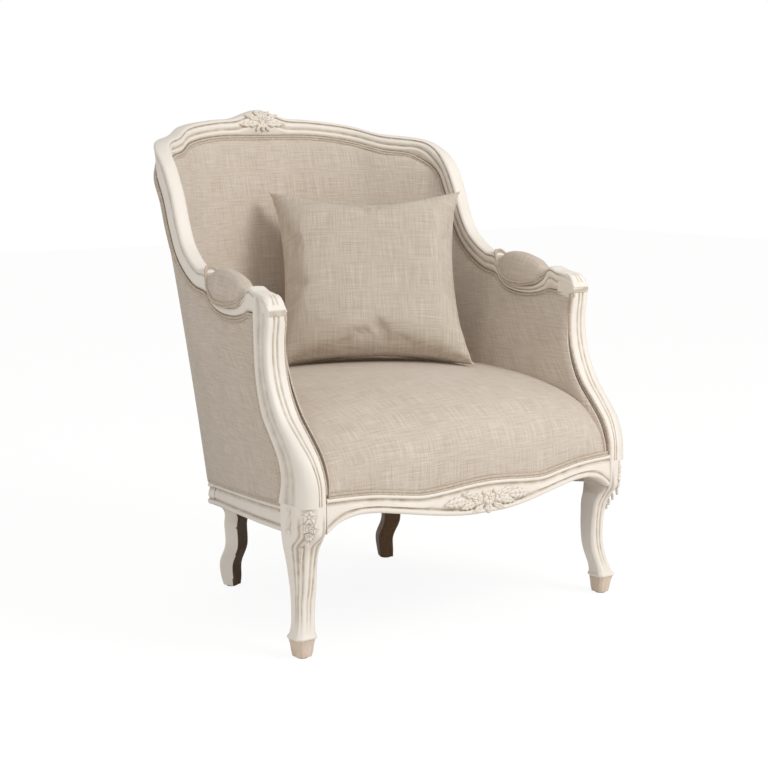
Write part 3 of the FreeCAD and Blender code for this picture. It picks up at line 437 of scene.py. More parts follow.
@dataclass(frozen=True)
class SlubLinen:
    """Plain-woven natural linen from uneven yarn.

    The eye sees greige cloth with light and dark slubs along both threads, a matt weave and a soft
    sheen where it turns away. The weave's own threads, 0.8 mm apart, are drawn at 2.2 mm to show."""

    name: str = "slub_linen"
    pale: str = "#DDD1C4"
    dark: str = "#BBAB99"
    thread_mm: float = 2.2
    slub_mm: tuple[float, float] = (2.4, 60.0)
    contrast: float = 0.7

    def streaks(self, tree: NodeTree, place: NodeSocket, lengthways: bool) -> NodeSocket:
        """Return the slubs along one of the two threads.

        Args:
            tree: The material's node tree.
            place: The thread map in metres.
            lengthways: Whether the slubs run along the warp.

        Returns:
            The socket of the slubs' strength.
        """
        thin, long = 1 / (self.slub_mm[0] * MM), 1 / (self.slub_mm[1] * MM)
        scale = (thin, long, 1.0) if lengthways else (long, thin, 1.0)
        drawn = add_node(tree, "ShaderNodeMapping", {"Vector": place, "Scale": scale})
        slubs = add_node(tree, "ShaderNodeTexNoise", {
            "Vector": drawn.outputs[0], "Scale": 1.0, "Detail": 4.0, "Roughness": 0.7})
        return slubs.outputs["Fac"]

    def weave(self, tree: NodeTree, place: NodeSocket) -> NodeSocket:
        """Return the height of the over and under of the threads."""
        parts = add_node(tree, "ShaderNodeSeparateXYZ", {0: place})
        turns = []
        for axis in (0, 1):
            angle = add_node(tree, "ShaderNodeMath", {
                0: parts.outputs[axis], 1: math.pi / (self.thread_mm * MM)},
                             operation="MULTIPLY")
            turns.append(add_node(tree, "ShaderNodeMath", {
                0: angle.outputs[0]}, operation="SINE").outputs[0])
        return add_node(tree, "ShaderNodeMath", {
            0: turns[0], 1: turns[1]}, operation="MULTIPLY").outputs[0]

    def made(self) -> Material:
        """Build the material."""
        material, tree = new_material(self.name)
        place = add_node(tree, "ShaderNodeUVMap", uv_map="threads").outputs["UV"]
        warp, weft = self.streaks(tree, place, True), self.streaks(tree, place, False)
        both = add_node(tree, "ShaderNodeMath", {0: warp, 1: weft}, operation="ADD").outputs[0]
        over = self.weave(tree, place)
        raised = add_node(tree, "ShaderNodeMath", {
            0: over, 1: 0.045, 2: both}, operation="MULTIPLY_ADD").outputs[0]
        half = 0.19 / self.contrast
        share = add_node(tree, "ShaderNodeMapRange", {
            "Value": raised, "From Min": 1 - half, "From Max": 1 + half}).outputs[0]
        object_place = add_node(tree, "ShaderNodeTexCoord").outputs["Object"]
        cloud = add_node(tree, "ShaderNodeTexNoise", {
            "Vector": object_place, "Scale": 7.0, "Detail": 3.0})
        faded = add_node(tree, "ShaderNodeMapRange", {
            "Value": cloud.outputs["Fac"], "From Min": 0.3, "From Max": 0.7, "To Min": -0.08,
            "To Max": 0.08}).outputs[0]
        tone = add_node(tree, "ShaderNodeMath", {
            0: share, 1: faded}, operation="ADD", use_clamp=True).outputs[0]
        colour = add_node(tree, "ShaderNodeMix", {
            "Factor": tone, 6: linear(self.dark), 7: linear(self.pale)}, data_type="RGBA").outputs[2]
        height = add_node(tree, "ShaderNodeMath", {
            0: over, 1: 0.25, 2: both}, operation="MULTIPLY_ADD").outputs[0]
        bump = add_node(tree, "ShaderNodeBump", {"Height": height, "Strength": 0.45, "Distance": 0.0008})
        shader = add_node(tree, "ShaderNodeBsdfPrincipled", {
            "Base Color": colour, "Roughness": 0.92, "Normal": bump.outputs[0], "Sheen Weight": 0.12,
            "Sheen Roughness": 0.6, "Specular IOR Level": 0.2})
        return finished(material, shader)


@dataclass(frozen=True)
class PlainFinish:
    """A finish that hardly shows: one tone broken up by a fine grain of its own size."""

    name: str
    pale: str
    dark: str
    grain_mm: float
    roughness: float
    metallic: float = 0.0

    def made(self) -> Material:
        """Build the material."""
        material, tree = new_material(self.name)
        place = add_node(tree, "ShaderNodeTexCoord").outputs["Object"]
        grain = add_node(tree, "ShaderNodeTexNoise", {
            "Vector": place, "Scale": 1 / (self.grain_mm * MM), "Detail": 4.0})
        colour = add_node(tree, "ShaderNodeMix", {
            "Factor": grain.outputs["Fac"], 6: linear(self.pale), 7: linear(self.dark)}, data_type="RGBA")
        bump = add_node(tree, "ShaderNodeBump", {
            "Height": grain.outputs["Fac"], "Strength": 0.3, "Distance": 0.0005})
        shader = add_node(tree, "ShaderNodeBsdfPrincipled", {
            "Base Color": colour.outputs[2], "Roughness": self.roughness, "Metallic": self.metallic,
            "Normal": bump.outputs[0]})
        return finished(material, shader)


def made_by(finish: PaintedBeech | Timber | SlubLinen | PlainFinish) -> object:
    """Return a field whose value is the material that a finish builds."""
    return field(default_factory=finish.made)


@dataclass
class Finishes:
    """Every finish of the chair, each built once."""

    # Chalk-painted show wood and slub linen, each told of at its own class.
    paint: Material = made_by(PaintedBeech())
    linen: Material = made_by(SlubLinen())
    # The cushion's cloth is the same linen, a little greyer, with longer slubs.
    cushion: Material = made_by(SlubLinen(
        "cushion_linen", "#D6CBBD", "#B3A492", 2.2, (2.2, 70.0), 0.72))
    # Piping cord covered in the same linen: smooth, so that only its two round ridges show.
    welt: Material = made_by(SlubLinen(
        "linen_welt", "#D6C9B9", "#B4A390", 1.6, (3.0, 9.0), 0.7))
    # Painted shade under the seat: a dark walnut brown with open grain, half matt, laid on the rear legs'
    # inner and front faces.
    stain: Material = made_by(Timber(
        "under_seat_shade_brown", "#7A5B3A", "#4C3520", 2.5, 0.5))
    # Bare sanded beech on the feet: pinkish beige, faint grain.
    foot: Material = made_by(Timber(
        "bare_beech_foot", "#E6D6C6", "#D2BDA9", 3.0, 0.6))
    # Sawn beech of the hidden frame: straw brown, straight grain, matt.
    beech: Material = made_by(Timber(
        "sawn_beech", "#D9B98F", "#B98F62", 3.5, 0.65, (0.1, 1.0, 1.0)))
    # Woven jute webbing: sandy, coarse and dull.
    webbing: Material = made_by(PlainFinish(
        "jute_webbing", "#B79A6B", "#7F6540", 2.0, 0.9))
    # Spunbond cloth under the seat: black, faintly mottled, no shine.
    dust_cloth: Material = made_by(PlainFinish(
        "spunbond_dust_cloth", "#2A2826", "#171615", 1.5, 0.85))
    # Zinc-plated screws: cool grey and half bright.
    steel: Material = made_by(PlainFinish(
        "zinc_plated_screw", "#C9CACB", "#8E9092", 1.2, 0.35, 1.0))
    # Pressed wool felt under the feet: brownish grey, soft and matt.
    felt: Material = made_by(PlainFinish(
        "wool_felt", "#8C8378", "#5F574E", 0.8, 0.95))


def dressed(piece: Object, materials: Sequence[Material], slot: str, *nodes: str,
            body: str = "chair") -> Object:
    """Give a piece its finish, its body and the CAD nodes it stands for.

    Args:
        piece: The finished piece.
        materials: Its materials in the order of its faces' numbers.
        slot: Not used.
        nodes: The CAD nodes it replaces.
        body: The CAD body it moves with.

    Returns:
        The piece.
    """
    piece.data.materials.clear()
    for material in materials:
        piece.data.materials.append(material)
    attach(piece, body)
    if nodes:
        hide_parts(*nodes)
    LOG.info("%s: %d faces", piece.name, len(piece.data.polygons))
    return piece


# Shapes shared by the frame and the upholstery.


@dataclass
class Rim:
    """The show wood's line from the right arm's front end over the crest to the left arm's front end.

    Each station is the outer free edge, the side through the shell and the side down the shell."""

    arm_top: float = 647.0
    arm_span: float = 389.0
    arm_width: float = 40.0
    stump_top: float = 606.0
    depth: float = 31.0
    width: float = 38.0
    ear: tuple[float, float, float] = (353.0, 243.0, 899.0)
    back_reach: float = 431.0
    crest_shoulder: float = 950.0
    crest_height: float = 34.0
    scoop: tuple = (
        (-208, -29, 0, 0), (-198, -13, 0, 0), (-180, -4, 0, 1), (-158, 0, 0, 3), (-130, 5, 1, 5),
        (-121, -9, -3, 6),
        (-98, -26, -9, 8), (-63, -33, -12, 11), (-28, -31, -9, 13), (-4, -23, -2, 15), (12, -7, 8, 15),
        (26, 20, 22, 16),
    )
    rise: tuple = (
        (56, 0.11, 70, 16), (87, 0.18, 57, 18), (112, 0.27, 40, 20), (134, 0.42, 24, 22),
        (158, 0.66, 24, 23),
        (182, 0.83, 32, 24),
    )
    arch: tuple = (
        (0.74, 89, 29, 25), (0.61, 48, 14, 16), (0.34, 14, 1, 9), (0.17, 3, -4, 4), (0.09, 1, -13, 2),
        (0, 0, -20, 0),
    )

    def __post_init__(self) -> None:
        """Work out the stations of both halves and the distance along them."""
        half = []
        for index, (back, up, under, inset) in enumerate(self.scoop):
            share = index / (len(self.scoop) - 1)
            edge = (self.arm_span - inset, back, self.arm_top + up)
            through = (-self.arm_width + share * (self.arm_width - self.depth), 0, 0)
            half.append((*edge, *through, 0, 0, self.stump_top + under - self.arm_top - up))
        for back, share, lean, inset in self.rise:
            tilt = math.radians(lean)
            edge = (self.arm_span - inset, back, self.arm_top + share * (self.ear[2] - self.arm_top))
            down = (0, math.cos(tilt) * self.width, -math.sin(tilt) * self.width)
            half.append((*edge, -self.depth, 0, 0, *down))
        turn = math.radians(37)
        corner = np.array((-0.58, 0.71, -0.74)) * self.width
        half.append((*self.ear, -math.cos(turn) * self.depth, -math.sin(turn) * self.depth, 0, *corner))
        for share, ahead, below, turned in self.arch:
            angle = math.radians(turned)
            height = self.crest_height + max(0, -below)
            edge = (share * self.ear[0], self.back_reach - ahead, self.crest_shoulder - below)
            through = (-math.sin(angle) * self.depth, -math.cos(angle) * self.depth, 0)
            half.append((*edge, *through, -0.1 * share * height, -0.22 * height, -height))
        right = np.array(half, float)
        mirror = np.array([-1, 1, 1] * 3, float)
        self.stations = np.concatenate([right, right[-2::-1] * mirror])
        self.knots = chord(self.stations[:, :3] + 0.5 * self.stations[:, 6:9])
        self.corners = (0, len(self.scoop), len(self.scoop) + len(self.rise))

    def at(self, places: np.ndarray) -> tuple[np.ndarray, np.ndarray, np.ndarray]:
        """Return the edge and the sides through and down the shell at places along the rim."""
        read = hermite(self.knots, self.stations, places)
        return read[:, :3], read[:, 3:6], read[:, 6:9]

    def span(self, first: int, last: int, step: float = 6.0) -> np.ndarray:
        """Return places from one station to another, about a step apart."""
        start, end = self.knots[first], self.knots[last]
        return np.linspace(start, end, max(4, int((end - start) / step)))


@dataclass
class Stump:
    """The arm stump's sweep: share of its height, front, back and the cut of its outer front corner."""

    bottom: float = 280.0
    top: float = 606.0
    outside: tuple[float, float] = (393.0, 389.0)
    width: tuple[float, float] = (47.0, 40.0)
    sweep: tuple = (
        (0.0, 325, 243, 26), (0.14, 321, 250, 24), (0.25, 304, 238, 18), (0.35, 275, 214, 12),
        (0.45, 244, 190, 8),
        (0.56, 222, 176, 6), (0.7, 206, 166, 5), (0.85, 202, 162, 5), (1.0, 207, 160, 5),
        (1.043, 206, 160, 5),
        (1.08, 201, 160, 6), (1.11, 189, 160, 8), (1.122, 176, 160, 9),
    )

    def sides(self, height: float | np.ndarray) -> tuple:
        """Return the share of the height, and the outer and inner sides' distance from the middle."""
        share = (height - self.bottom) / (self.top - self.bottom)
        outer = self.outside[0] + share * (self.outside[1] - self.outside[0])
        return share, outer, outer - (self.width[0] + share * (self.width[1] - self.width[0]))

    def read(self, heights: np.ndarray) -> np.ndarray:
        """Return the front, the back and the cut at each height."""
        table = np.array(self.sweep, float)
        shares = np.clip((heights - self.bottom) / (self.top - self.bottom), 0, 1.122)
        return hermite(table[:, 0], table[:, 1:], shares) * np.array([-1, -1, 1])


def rounded_ring(corners: np.ndarray, count: int, passes: int = 3) -> np.ndarray:
    """Spread points evenly round an outline and soften its corners.

    Args:
        corners: The outline's corners.
        count: How many points the ring gets.
        passes: How many times each point moves towards its neighbours.

    Returns:
        The ring.
    """
    ring = resampled(np.concatenate([corners, corners[:1]]), count + 1)[:-1]
    for _ in range(passes):
        ring = 0.5 * ring + 0.25 * (np.roll(ring, 1, axis=0) + np.roll(ring, -1, axis=0))
    return ring


# Frame.


@dataclass
class ShowFrame:
    """The painted show wood above the seat: arms, back posts and crest, with one moulding all round."""

    finishes: Finishes
    rim: Rim
    # Round the section: share and millimetres through the shell, share and millimetres down it, hollow, which
    # sets the painted shade in the grooves.
    profile: tuple = (
        (0, 0.0, 0, 5.0, 0.2), (0, 0.7, 0, 2.2, 0), (0, 2.6, 0, 0.5, 0), (0, 6.0, 0, -0.4, 0),
        (0.5, 0, 0, -0.9, 0),
        (1, -6.0, 0, -0.3, 0), (1, -2.6, 0, 0.7, 0), (1, -0.7, 0, 2.6, 0), (1, 0.0, 0, 4.6, 0.2),
        (1, -0.8, 0, 5.6, 0.8), (1, -2.6, 0, 6.3, 1), (1, -2.6, 0, 7.3, 1), (1, -0.6, 0, 8.2, 0.7),
        (1, 0.9, 0, 10.2, 0), (1, 1.5, 0, 13.4, 0), (1, 1.0, 0, 17.0, 0), (1, -0.9, 0, 20.0, 0.3),
        (1, -2.8, 0, 22.0, 0.8), (1, -3.2, 0, 23.2, 1), (1, -1.3, 0, 24.4, 0.5), (1, 0.0, 0, 26.4, 0),
        (1, 0.2, 0, 29.0, 0),
        (1, -0.6, 0, 31.2, 0.2), (1, -2.0, 1, -4.0, 0.6), (1, -3.6, 1, -1.5, 1), (1, -6.0, 1, 0, 1),
        (0, 6.0, 1, 0, 1), (0, 3.4, 1, -1.2, 1), (0, 1.8, 1, -4.0, 0.6), (0, 0.3, 1, -6.5, 0.2),
        (0, 0.0, 1, -10, 0),
        (0, 0.0, 0, 14.0, 0), (0, 0.3, 0, 11.0, 0.2), (0, 1.9, 0, 9.8, 1), (0, 1.9, 0, 8.8, 1),
        (0, 0.3, 0, 7.4, 0.3),
    )

    def rings(self, places: np.ndarray) -> np.ndarray:
        """Return the moulded section's rings at places along the rim, in metres."""
        edge, through, down = self.rim.at(places)
        wide, high = np.linalg.norm(through, axis=1), np.linalg.norm(down, axis=1)
        inward, below = unit(through), unit(down)
        fine, low = np.minimum(1, wide / 31), np.minimum(1, high / 38)
        rings = []
        for share, across, drop, lower, _ in self.profile:
            aside, under = share * wide + across * fine, drop * high + lower * low
            rings.append(edge + (inward * aside[:, None] + below * under[:, None]))
        return placed(np.stack(rings, 1))

    def make(self) -> None:
        """Make the arms, the posts and the crest."""
        start, post, ear = self.rim.corners
        last = len(self.rim.knots) - 1
        spans = (
            ("arm_rail_right", start, post), ("back_post_right", post, ear),
            ("crest_rail", ear, last - ear),
            ("back_post_left", last - ear, last - post), ("arm_rail_left", last - post, last),
        )
        shade = np.array([row[-1] for row in self.profile])
        for node, first, end in spans:
            form = Form()
            form.add_rings(self.rings(self.rim.span(first, end, 5.0)), shade)
            dressed(form.made(f"{node}_moulded"), [self.finishes.paint], "painted_wood", node)


@dataclass
class ArmStumps:
    """The arm stumps, which sweep from the front legs' blocks back and up to the arms."""

    finishes: Finishes
    stump: Stump
    # Flutes: where across the front and outer faces they lie, in share of the face, and their depth.
    flutes: tuple = ((0.30, 2.4, 0.055), (0.58, 2.4, 0.055))
    soft_flutes: tuple = ((0.38, 1.7, 0.16), (0.74, 1.4, 0.14))
    face_points: int = 26

    def ring(self, height: float, side: Side) -> tuple[np.ndarray, np.ndarray]:
        """Return the section's ring in millimetres and its hollows.

        Args:
            height: Height above the floor.
            side: The side of the chair.

        Returns:
            The ring's points and how deep each lies.
        """
        stump = self.stump
        front, back, cut = stump.read(np.array([height]))[0]
        share, outer, inner = stump.sides(height)
        over = max(0.0, share - 0.985) / 0.137
        swell = 0.6 * (over > 0) - 3.5 * over ** 3
        outer, inner = outer + swell, inner - swell
        cut = max(cut, 5.0)
        runs = (
            ((outer, back), (outer, front + cut), self.soft_flutes, (1, 0)),
            ((outer - cut * 0.25, front + cut * 0.25), None, (), (1, -1)),
            ((outer - cut, front), (inner + 3, front), self.flutes, (0, -1)),
            ((inner, front + 3), (inner, back), (), (-1, 0)),
        )
        points, hollow = [], []
        for start, end, flutes, normal in runs:
            count = self.face_points if end else 1
            for step in range(count):
                along = step / max(1, count - 1)
                x, y = start if end is None else np.array(start) + along * (np.array(end) - np.array(start))
                depth = sum(deep * math.exp(-((along - at) / wide) ** 2) for at, deep, wide in flutes)
                ease = min(1.0, max(0.0, (stump.top + 36 - height) / 30))
                points.append((x - normal[0] * depth * ease, y - normal[1] * depth * ease))
                # Painted shade in the flutes, stronger where they are deeper.
                hollow.append(min(1, depth / 2.2))
        ring = np.array([(x * side.value, y, height) for x, y in points])
        return ring, np.array(hollow)

    def make(self) -> None:
        """Make both stumps."""
        for side in Side:
            crown = self.stump.top + 36.5 * np.sin(np.linspace(0.1, math.pi / 2, 22))
            heights = np.concatenate([np.linspace(self.stump.bottom - 2, self.stump.top, 70), crown])
            rings = [self.ring(height, side) for height in heights]
            form = Form()
            points, hollow = (np.stack(part) for part in zip(*rings))
            form.add_rings(placed(points), hollow)
            piece = form.made(f"arm_stump_{side.word}_carved")
            dressed(piece, [self.finishes.paint], "painted_wood", f"arm_stump_{side.word}")


@dataclass
class SeatRails:
    """The front rail with its serpentine face, the side rails and the back rail, all moulded."""

    finishes: Finishes
    half: float = 345.0
    reach: float = 357.0
    top: float = 288.0
    height: float = 60.0
    back: float = -297.0
    wave: tuple = (
        (1.0, 32, 4, 0), (0.94, 30, 4, 15), (0.84, 25, 4, 27), (0.72, 21, 2, 28), (0.58, 17, -4, 21),
        (0.42, 10, -10, 12), (0.28, 5, -7, 5), (0.14, 1, -2, 0.5), (0.0, 0, 0, 0),
    )
    bow: tuple = ((0, 0), (0.33, 4), (0.67, 3), (1, 0))
    back_bottom: float = 183.0
    thickness: float = 26.0
    # Round a rear corner, from the side rail's end to the back rail.
    corner: tuple = ((262.5, 186), (262, 204), (257, 219), (246, 230), (232, 237.5), (216, 241), (200, 244))
    # Round a rail's section: distance behind its face, share and millimetres of height, hollow, which sets
    # the painted shade in the grooves.
    profile: tuple = (
        (9, 1, 0, 0.6), (6, 1, 0.4, 0.3), (2.6, 1, 0, 0), (0.7, 1, -1.8, 0), (0.4, 1, -4.2, 0),
        (1.6, 1, -6.4, 0.4),
        (4.4, 1, -7.8, 1), (4.8, 1, -9.2, 1), (4.0, 1, -12, 0.6), (2.6, 1, -15, 0.1), (1.8, 0.5, 2, 0),
        (1.4, 0.5, -4, 0),
        (1.8, 0, 16, 0.1), (3.4, 0, 13.4, 0.6), (4.8, 0, 12, 1), (4.2, 0, 10.6, 1), (1.6, 0, 9.4, 0.4),
        (0.3, 0, 7.0, 0),
        (0.2, 0, 4.6, 0), (1.4, 0, 2.0, 0), (4.6, 0, 0.2, 0.1),
    )

    def wave_at(self, shares: np.ndarray) -> np.ndarray:
        """Return the front rail's set back, top and bottom at shares of its half length."""
        table = np.array(self.wave[::-1], float)
        full = np.concatenate([table[:0:-1] * np.array([-1, 1, 1, 1]), table])
        return hermite(full[:, 0], full[:, 1:], shares)

    def rail_outside(self, depth: np.ndarray) -> np.ndarray:
        """Return how far a side rail's outside lies from the middle at a depth."""
        share = (depth - RAIL_DEPTHS[0]) / (RAIL_DEPTHS[1] - RAIL_DEPTHS[0])
        table = np.array(self.bow, float)
        return 388 + share * (262 - 388) + np.interp(share, table[:, 0], table[:, 1])

    def laid(self, node: str, faces: np.ndarray, tops: np.ndarray, bottoms: np.ndarray,
             thickness: float | np.ndarray, outer: int = 1, mirror: int = 1) -> None:
        """Run the rails' section along a face line and dress the rail that it makes.

        Args:
            node: The CAD node that the rail replaces.
            faces: The face line's places across and along, in millimetres.
            tops: The rail's top at each.
            bottoms: The rail's bottom at each.
            thickness: The rail's thickness at each.
            outer: 1 where the outside lies to the right of the run, -1 to the left.
            mirror: -1 for the mirrored rail of the left side.
        """
        step = np.gradient(faces, axis=0)
        outward = unit(outer * np.column_stack([step[:, 1], -step[:, 0]]))
        rings = []
        for behind, share, lift, _ in self.profile:
            heights = bottoms + share * (tops - bottoms) + lift
            rings.append(np.column_stack([faces - outward * behind, heights]))
        inner = faces - outward * np.broadcast_to(thickness, len(faces))[:, None]
        rings += [np.column_stack([inner, height]) for height in (bottoms, tops)]
        form = Form()
        shade = np.array([row[-1] for row in self.profile] + [1, 1])
        form.add_rings(placed(np.stack(rings, 1)), shade)
        form.points = [(x * mirror, y, z) for x, y, z in form.points]
        dressed(form.made(f"{node}_moulded"), [self.finishes.paint], "painted_wood", node)

    def make_front(self) -> None:
        """Make the front rail."""
        shares = np.linspace(-1, 1, 121)
        behind, up, down = self.wave_at(shares).T
        faces = np.column_stack([shares * self.half, -self.reach + behind])
        tops, bottoms = self.top + up, self.top - self.height + down
        self.laid("front_seat_rail", faces, tops, bottoms, self.back - faces[:, 1])

    def make_side(self, side: Side) -> None:
        """Make a side rail, which runs on a little behind the arm stump."""
        first, last = RAIL_DEPTHS
        depths = np.linspace(first - 37, last, 70)
        faces = np.column_stack([self.rail_outside(depths), depths])
        tops = seat_level(depths)
        bottoms = tops - 48 + 5 * (depths - first) / (last - first)
        self.laid(f"side_seat_rail_{side.word}", faces, tops, bottoms, self.thickness, mirror=side.value)

    def make_back(self) -> None:
        """Make the back rail, which runs round both rear corners to the side rails' ends."""
        across = np.linspace(-184, 184, 24)
        corner = np.array(self.corner, float)
        run = (corner * (-1, 1), np.column_stack([across, back_arc(across)]), corner[::-1])
        faces = resampled(np.concatenate(run), 150)
        for _ in range(4):
            faces[1:-1] = (faces[:-2] + 2 * faces[1:-1] + faces[2:]) / 4
        tops, aside = seat_level(faces[:, 1]), np.abs(faces[:, 0])
        bottoms = tops - np.interp(aside, (200, 262), (seat_level(240.0) - self.back_bottom, 43))
        thickness = np.interp(aside, (180, 205), (self.thickness, 7))
        self.laid("back_seat_rail", faces, tops, bottoms, thickness, outer=-1)

    def make(self) -> None:
        """Make all four rails."""
        self.make_front()
        for side in Side:
            self.make_side(side)
        self.make_back()


@dataclass
class Legs:
    """The cabriole front legs on small bare feet and the plain outswept rear legs."""

    finishes: Finishes
    front_foot: tuple[float, float] = (369.0, 278.0)
    ankle: float = 36.0
    # Height, shift outwards and forwards of the foot, half width added to the ankle's.
    bends: tuple = (
        (206, -3, -3, 9), (190, -6, -9, 6.5), (166, -9, -12, 4), (142, -11, -13, 2.5), (118, -12, -13, 1),
        (97, -11, -12, 0), (78, -8, -8, -0.5), (60, -4, -3, -0.5), (46, -1, 0, 1), (36, 1, 1, 2.4),
        (28, 0.5, 0.5, 0.4),
        (12, 0, 0, -1.6), (3, 0, 0, -3.2),
    )
    rear: tuple[float, float, float] = (200.0, 208.0, 38.0)
    rear_bends: tuple = (
        (165, 1, 1, 1), (130, -3, -0.5, 0), (90, -5, -1.5, 0), (45, 18, -3, 0.5), (15, 15, -4, -1.5),
        (3, 13, -5, -4),
    )
    foot_height: float = 35.0
    # How far a rear leg is turned to face outwards, in degrees.
    rear_turn: float = 24.0

    def octagon(self, box: tuple, cut: float, knee_cut: float) -> np.ndarray:
        """Return an outline with cut corners, the outer front corner more than the others.

        Args:
            box: Inside, outside, front and back.
            cut: The cut of three corners.
            knee_cut: The cut of the outer front corner.

        Returns:
            The outline's corners, from the outer front corner on.
        """
        inside, outside, front, back = box
        return np.array([
            (outside - knee_cut, front), (inside + cut, front), (inside, front + cut), (inside, back - cut),
            (inside + cut, back), (outside - cut, back), (outside, back - cut),
            (outside, front + knee_cut)])

    def front_levels(self) -> tuple[np.ndarray, np.ndarray]:
        """Return the front leg's heights and outlines from the knee down."""
        levels = [(280, (345, 393, -325, -243), 3, 26), (250, (345, 393, -325, -243), 3, 26),
                  (226, (345.5, 392.5, -322, -244), 4, 25)]
        for height, outwards, forwards, wider in self.bends:
            middle, depth = self.front_foot[0] + outwards, -self.front_foot[1] - forwards
            half = self.ankle / 2 + wider
            share = max(0, (height - 97) / 110)
            box = (middle - half, middle + half, depth - half, depth + half)
            levels.append((height, box, 5, 7 + 14 * share))
        heights = np.array([level[0] for level in levels], float)
        return heights, np.stack([self.octagon(*level[1:]).reshape(-1) for level in levels])

    def flutes(self, count: int, height: float) -> np.ndarray:
        """Return how deep the leg's flutes are round its ring at a height."""
        share = np.arange(count) / count
        fade = np.clip((height - 48) / 40, 0, 1) * np.clip((268 - height) / 30, 0, 1)
        lines = ((0.06, 0.012), (0.115, 0.012), (0.965, 0.012), (0.91, 0.014), (0.86, 0.012))
        return 1.3 * fade * sum(np.exp(-(((share - at + 0.5) % 1 - 0.5) / wide) ** 2) for at, wide in lines)

    def make_front(self, side: Side) -> None:
        """Make a front leg, painted down to its bare foot."""
        heights, outlines = self.front_levels()
        places = np.concatenate([np.linspace(280, 42, 90), np.linspace(40, 3, 22)])
        read = hermite(-heights, outlines, -places)
        count = 112
        rings, shades = [], []
        for height, outline in zip(places, read):
            ring = rounded_ring(outline.reshape(-1, 2), count)
            after = np.roll(ring, -1, axis=0) - np.roll(ring, 1, axis=0)
            normal = unit(np.column_stack([after[:, 1], -after[:, 0]]))
            outward = np.sign(((ring - ring.mean(axis=0)) * normal).sum(axis=1)).mean()
            depth = self.flutes(count, height)
            collar = 2.2 * math.exp(-((height - 39) / 3.0) ** 2)
            collar -= 1.4 * math.exp(-((height - 33.5) / 1.6) ** 2)
            ring = ring - outward * normal * (depth - collar)[:, None]
            rings.append(np.column_stack([ring[:, 0] * side.value, ring[:, 1], np.full(count, height)]))
            shades.append(np.clip(depth + 1.2 * math.exp(-((height - 33.5) / 2.0) ** 2), 0, 1))
        form = Form()
        form.add_rings(placed(np.stack(rings)), np.stack(shades))
        piece = form.made(f"front_leg_{side.word}_cabriole")
        dressed(piece, [self.finishes.paint, self.finishes.foot], "painted_wood", f"front_leg_{side.word}")
        for face in piece.data.polygons:
            face.material_index = int(face.center.z < self.foot_height * MM)

    def make_rear(self, side: Side) -> None:
        """Make a rear leg, painted outside and behind, with brown painted shade on its front and inner faces
        under the seat.
        """
        x, y, width = self.rear
        box = np.array([(200, 187), (256, 187), (256, 206), (230, 233), (200, 233)])
        levels = [(float(seat_level(np.array(240.0))) , box), (190.0, box), (183.0, box)]
        for height, backwards, wider, deeper in self.rear_bends:
            half, deep = width / 2 + wider, width / 2 + deeper
            middle = y + backwards
            low, high = middle - deep, middle + deep
            levels.append((height, np.array([
                (x - half, low), (x + half, low), (x + half, high - 6), (x + half - 6, high),
                (x - half, high)])))
        heights = np.array([level[0] for level in levels])
        outlines = np.stack([level[1].reshape(-1) for level in levels])
        places = np.concatenate([np.linspace(heights[0], 184, 12), np.linspace(182, 3, 60)])
        read = hermite(-heights, outlines, -places)
        rings = []
        for height, outline in zip(places, read):
            ring = rounded_ring(outline.reshape(-1, 2), 60, 3)
            angle = math.radians(self.rear_turn) * np.clip((186 - height) / 40, 0, 1)
            middle = ring.mean(axis=0)
            across, along = (ring - middle).T
            cos, sin = math.cos(angle), math.sin(angle)
            ring = middle + np.column_stack([across * cos + along * sin, along * cos - across * sin])
            rings.append(np.column_stack([ring[:, 0] * side.value, ring[:, 1], np.full(60, height)]))
        form = Form()
        form.add_rings(placed(np.stack(rings)))
        piece = form.made(f"rear_leg_{side.word}_outswept")
        dressed(piece, [self.finishes.paint, self.finishes.stain], "painted_wood", f"rear_leg_{side.word}")
        for face in piece.data.polygons:
            # Painted shade: faces that look inwards and faces that look forwards, below the seat, take the
            # brown for the shade there.
            inner, ahead = -face.normal.x * side.value > 0.6, -face.normal.y > 0.55
            face.material_index = int((inner or ahead) and face.center.z < 0.2)

    def make(self) -> None:
        """Make the four legs."""
        for side in Side:
            self.make_front(side)
            self.make_rear(side)


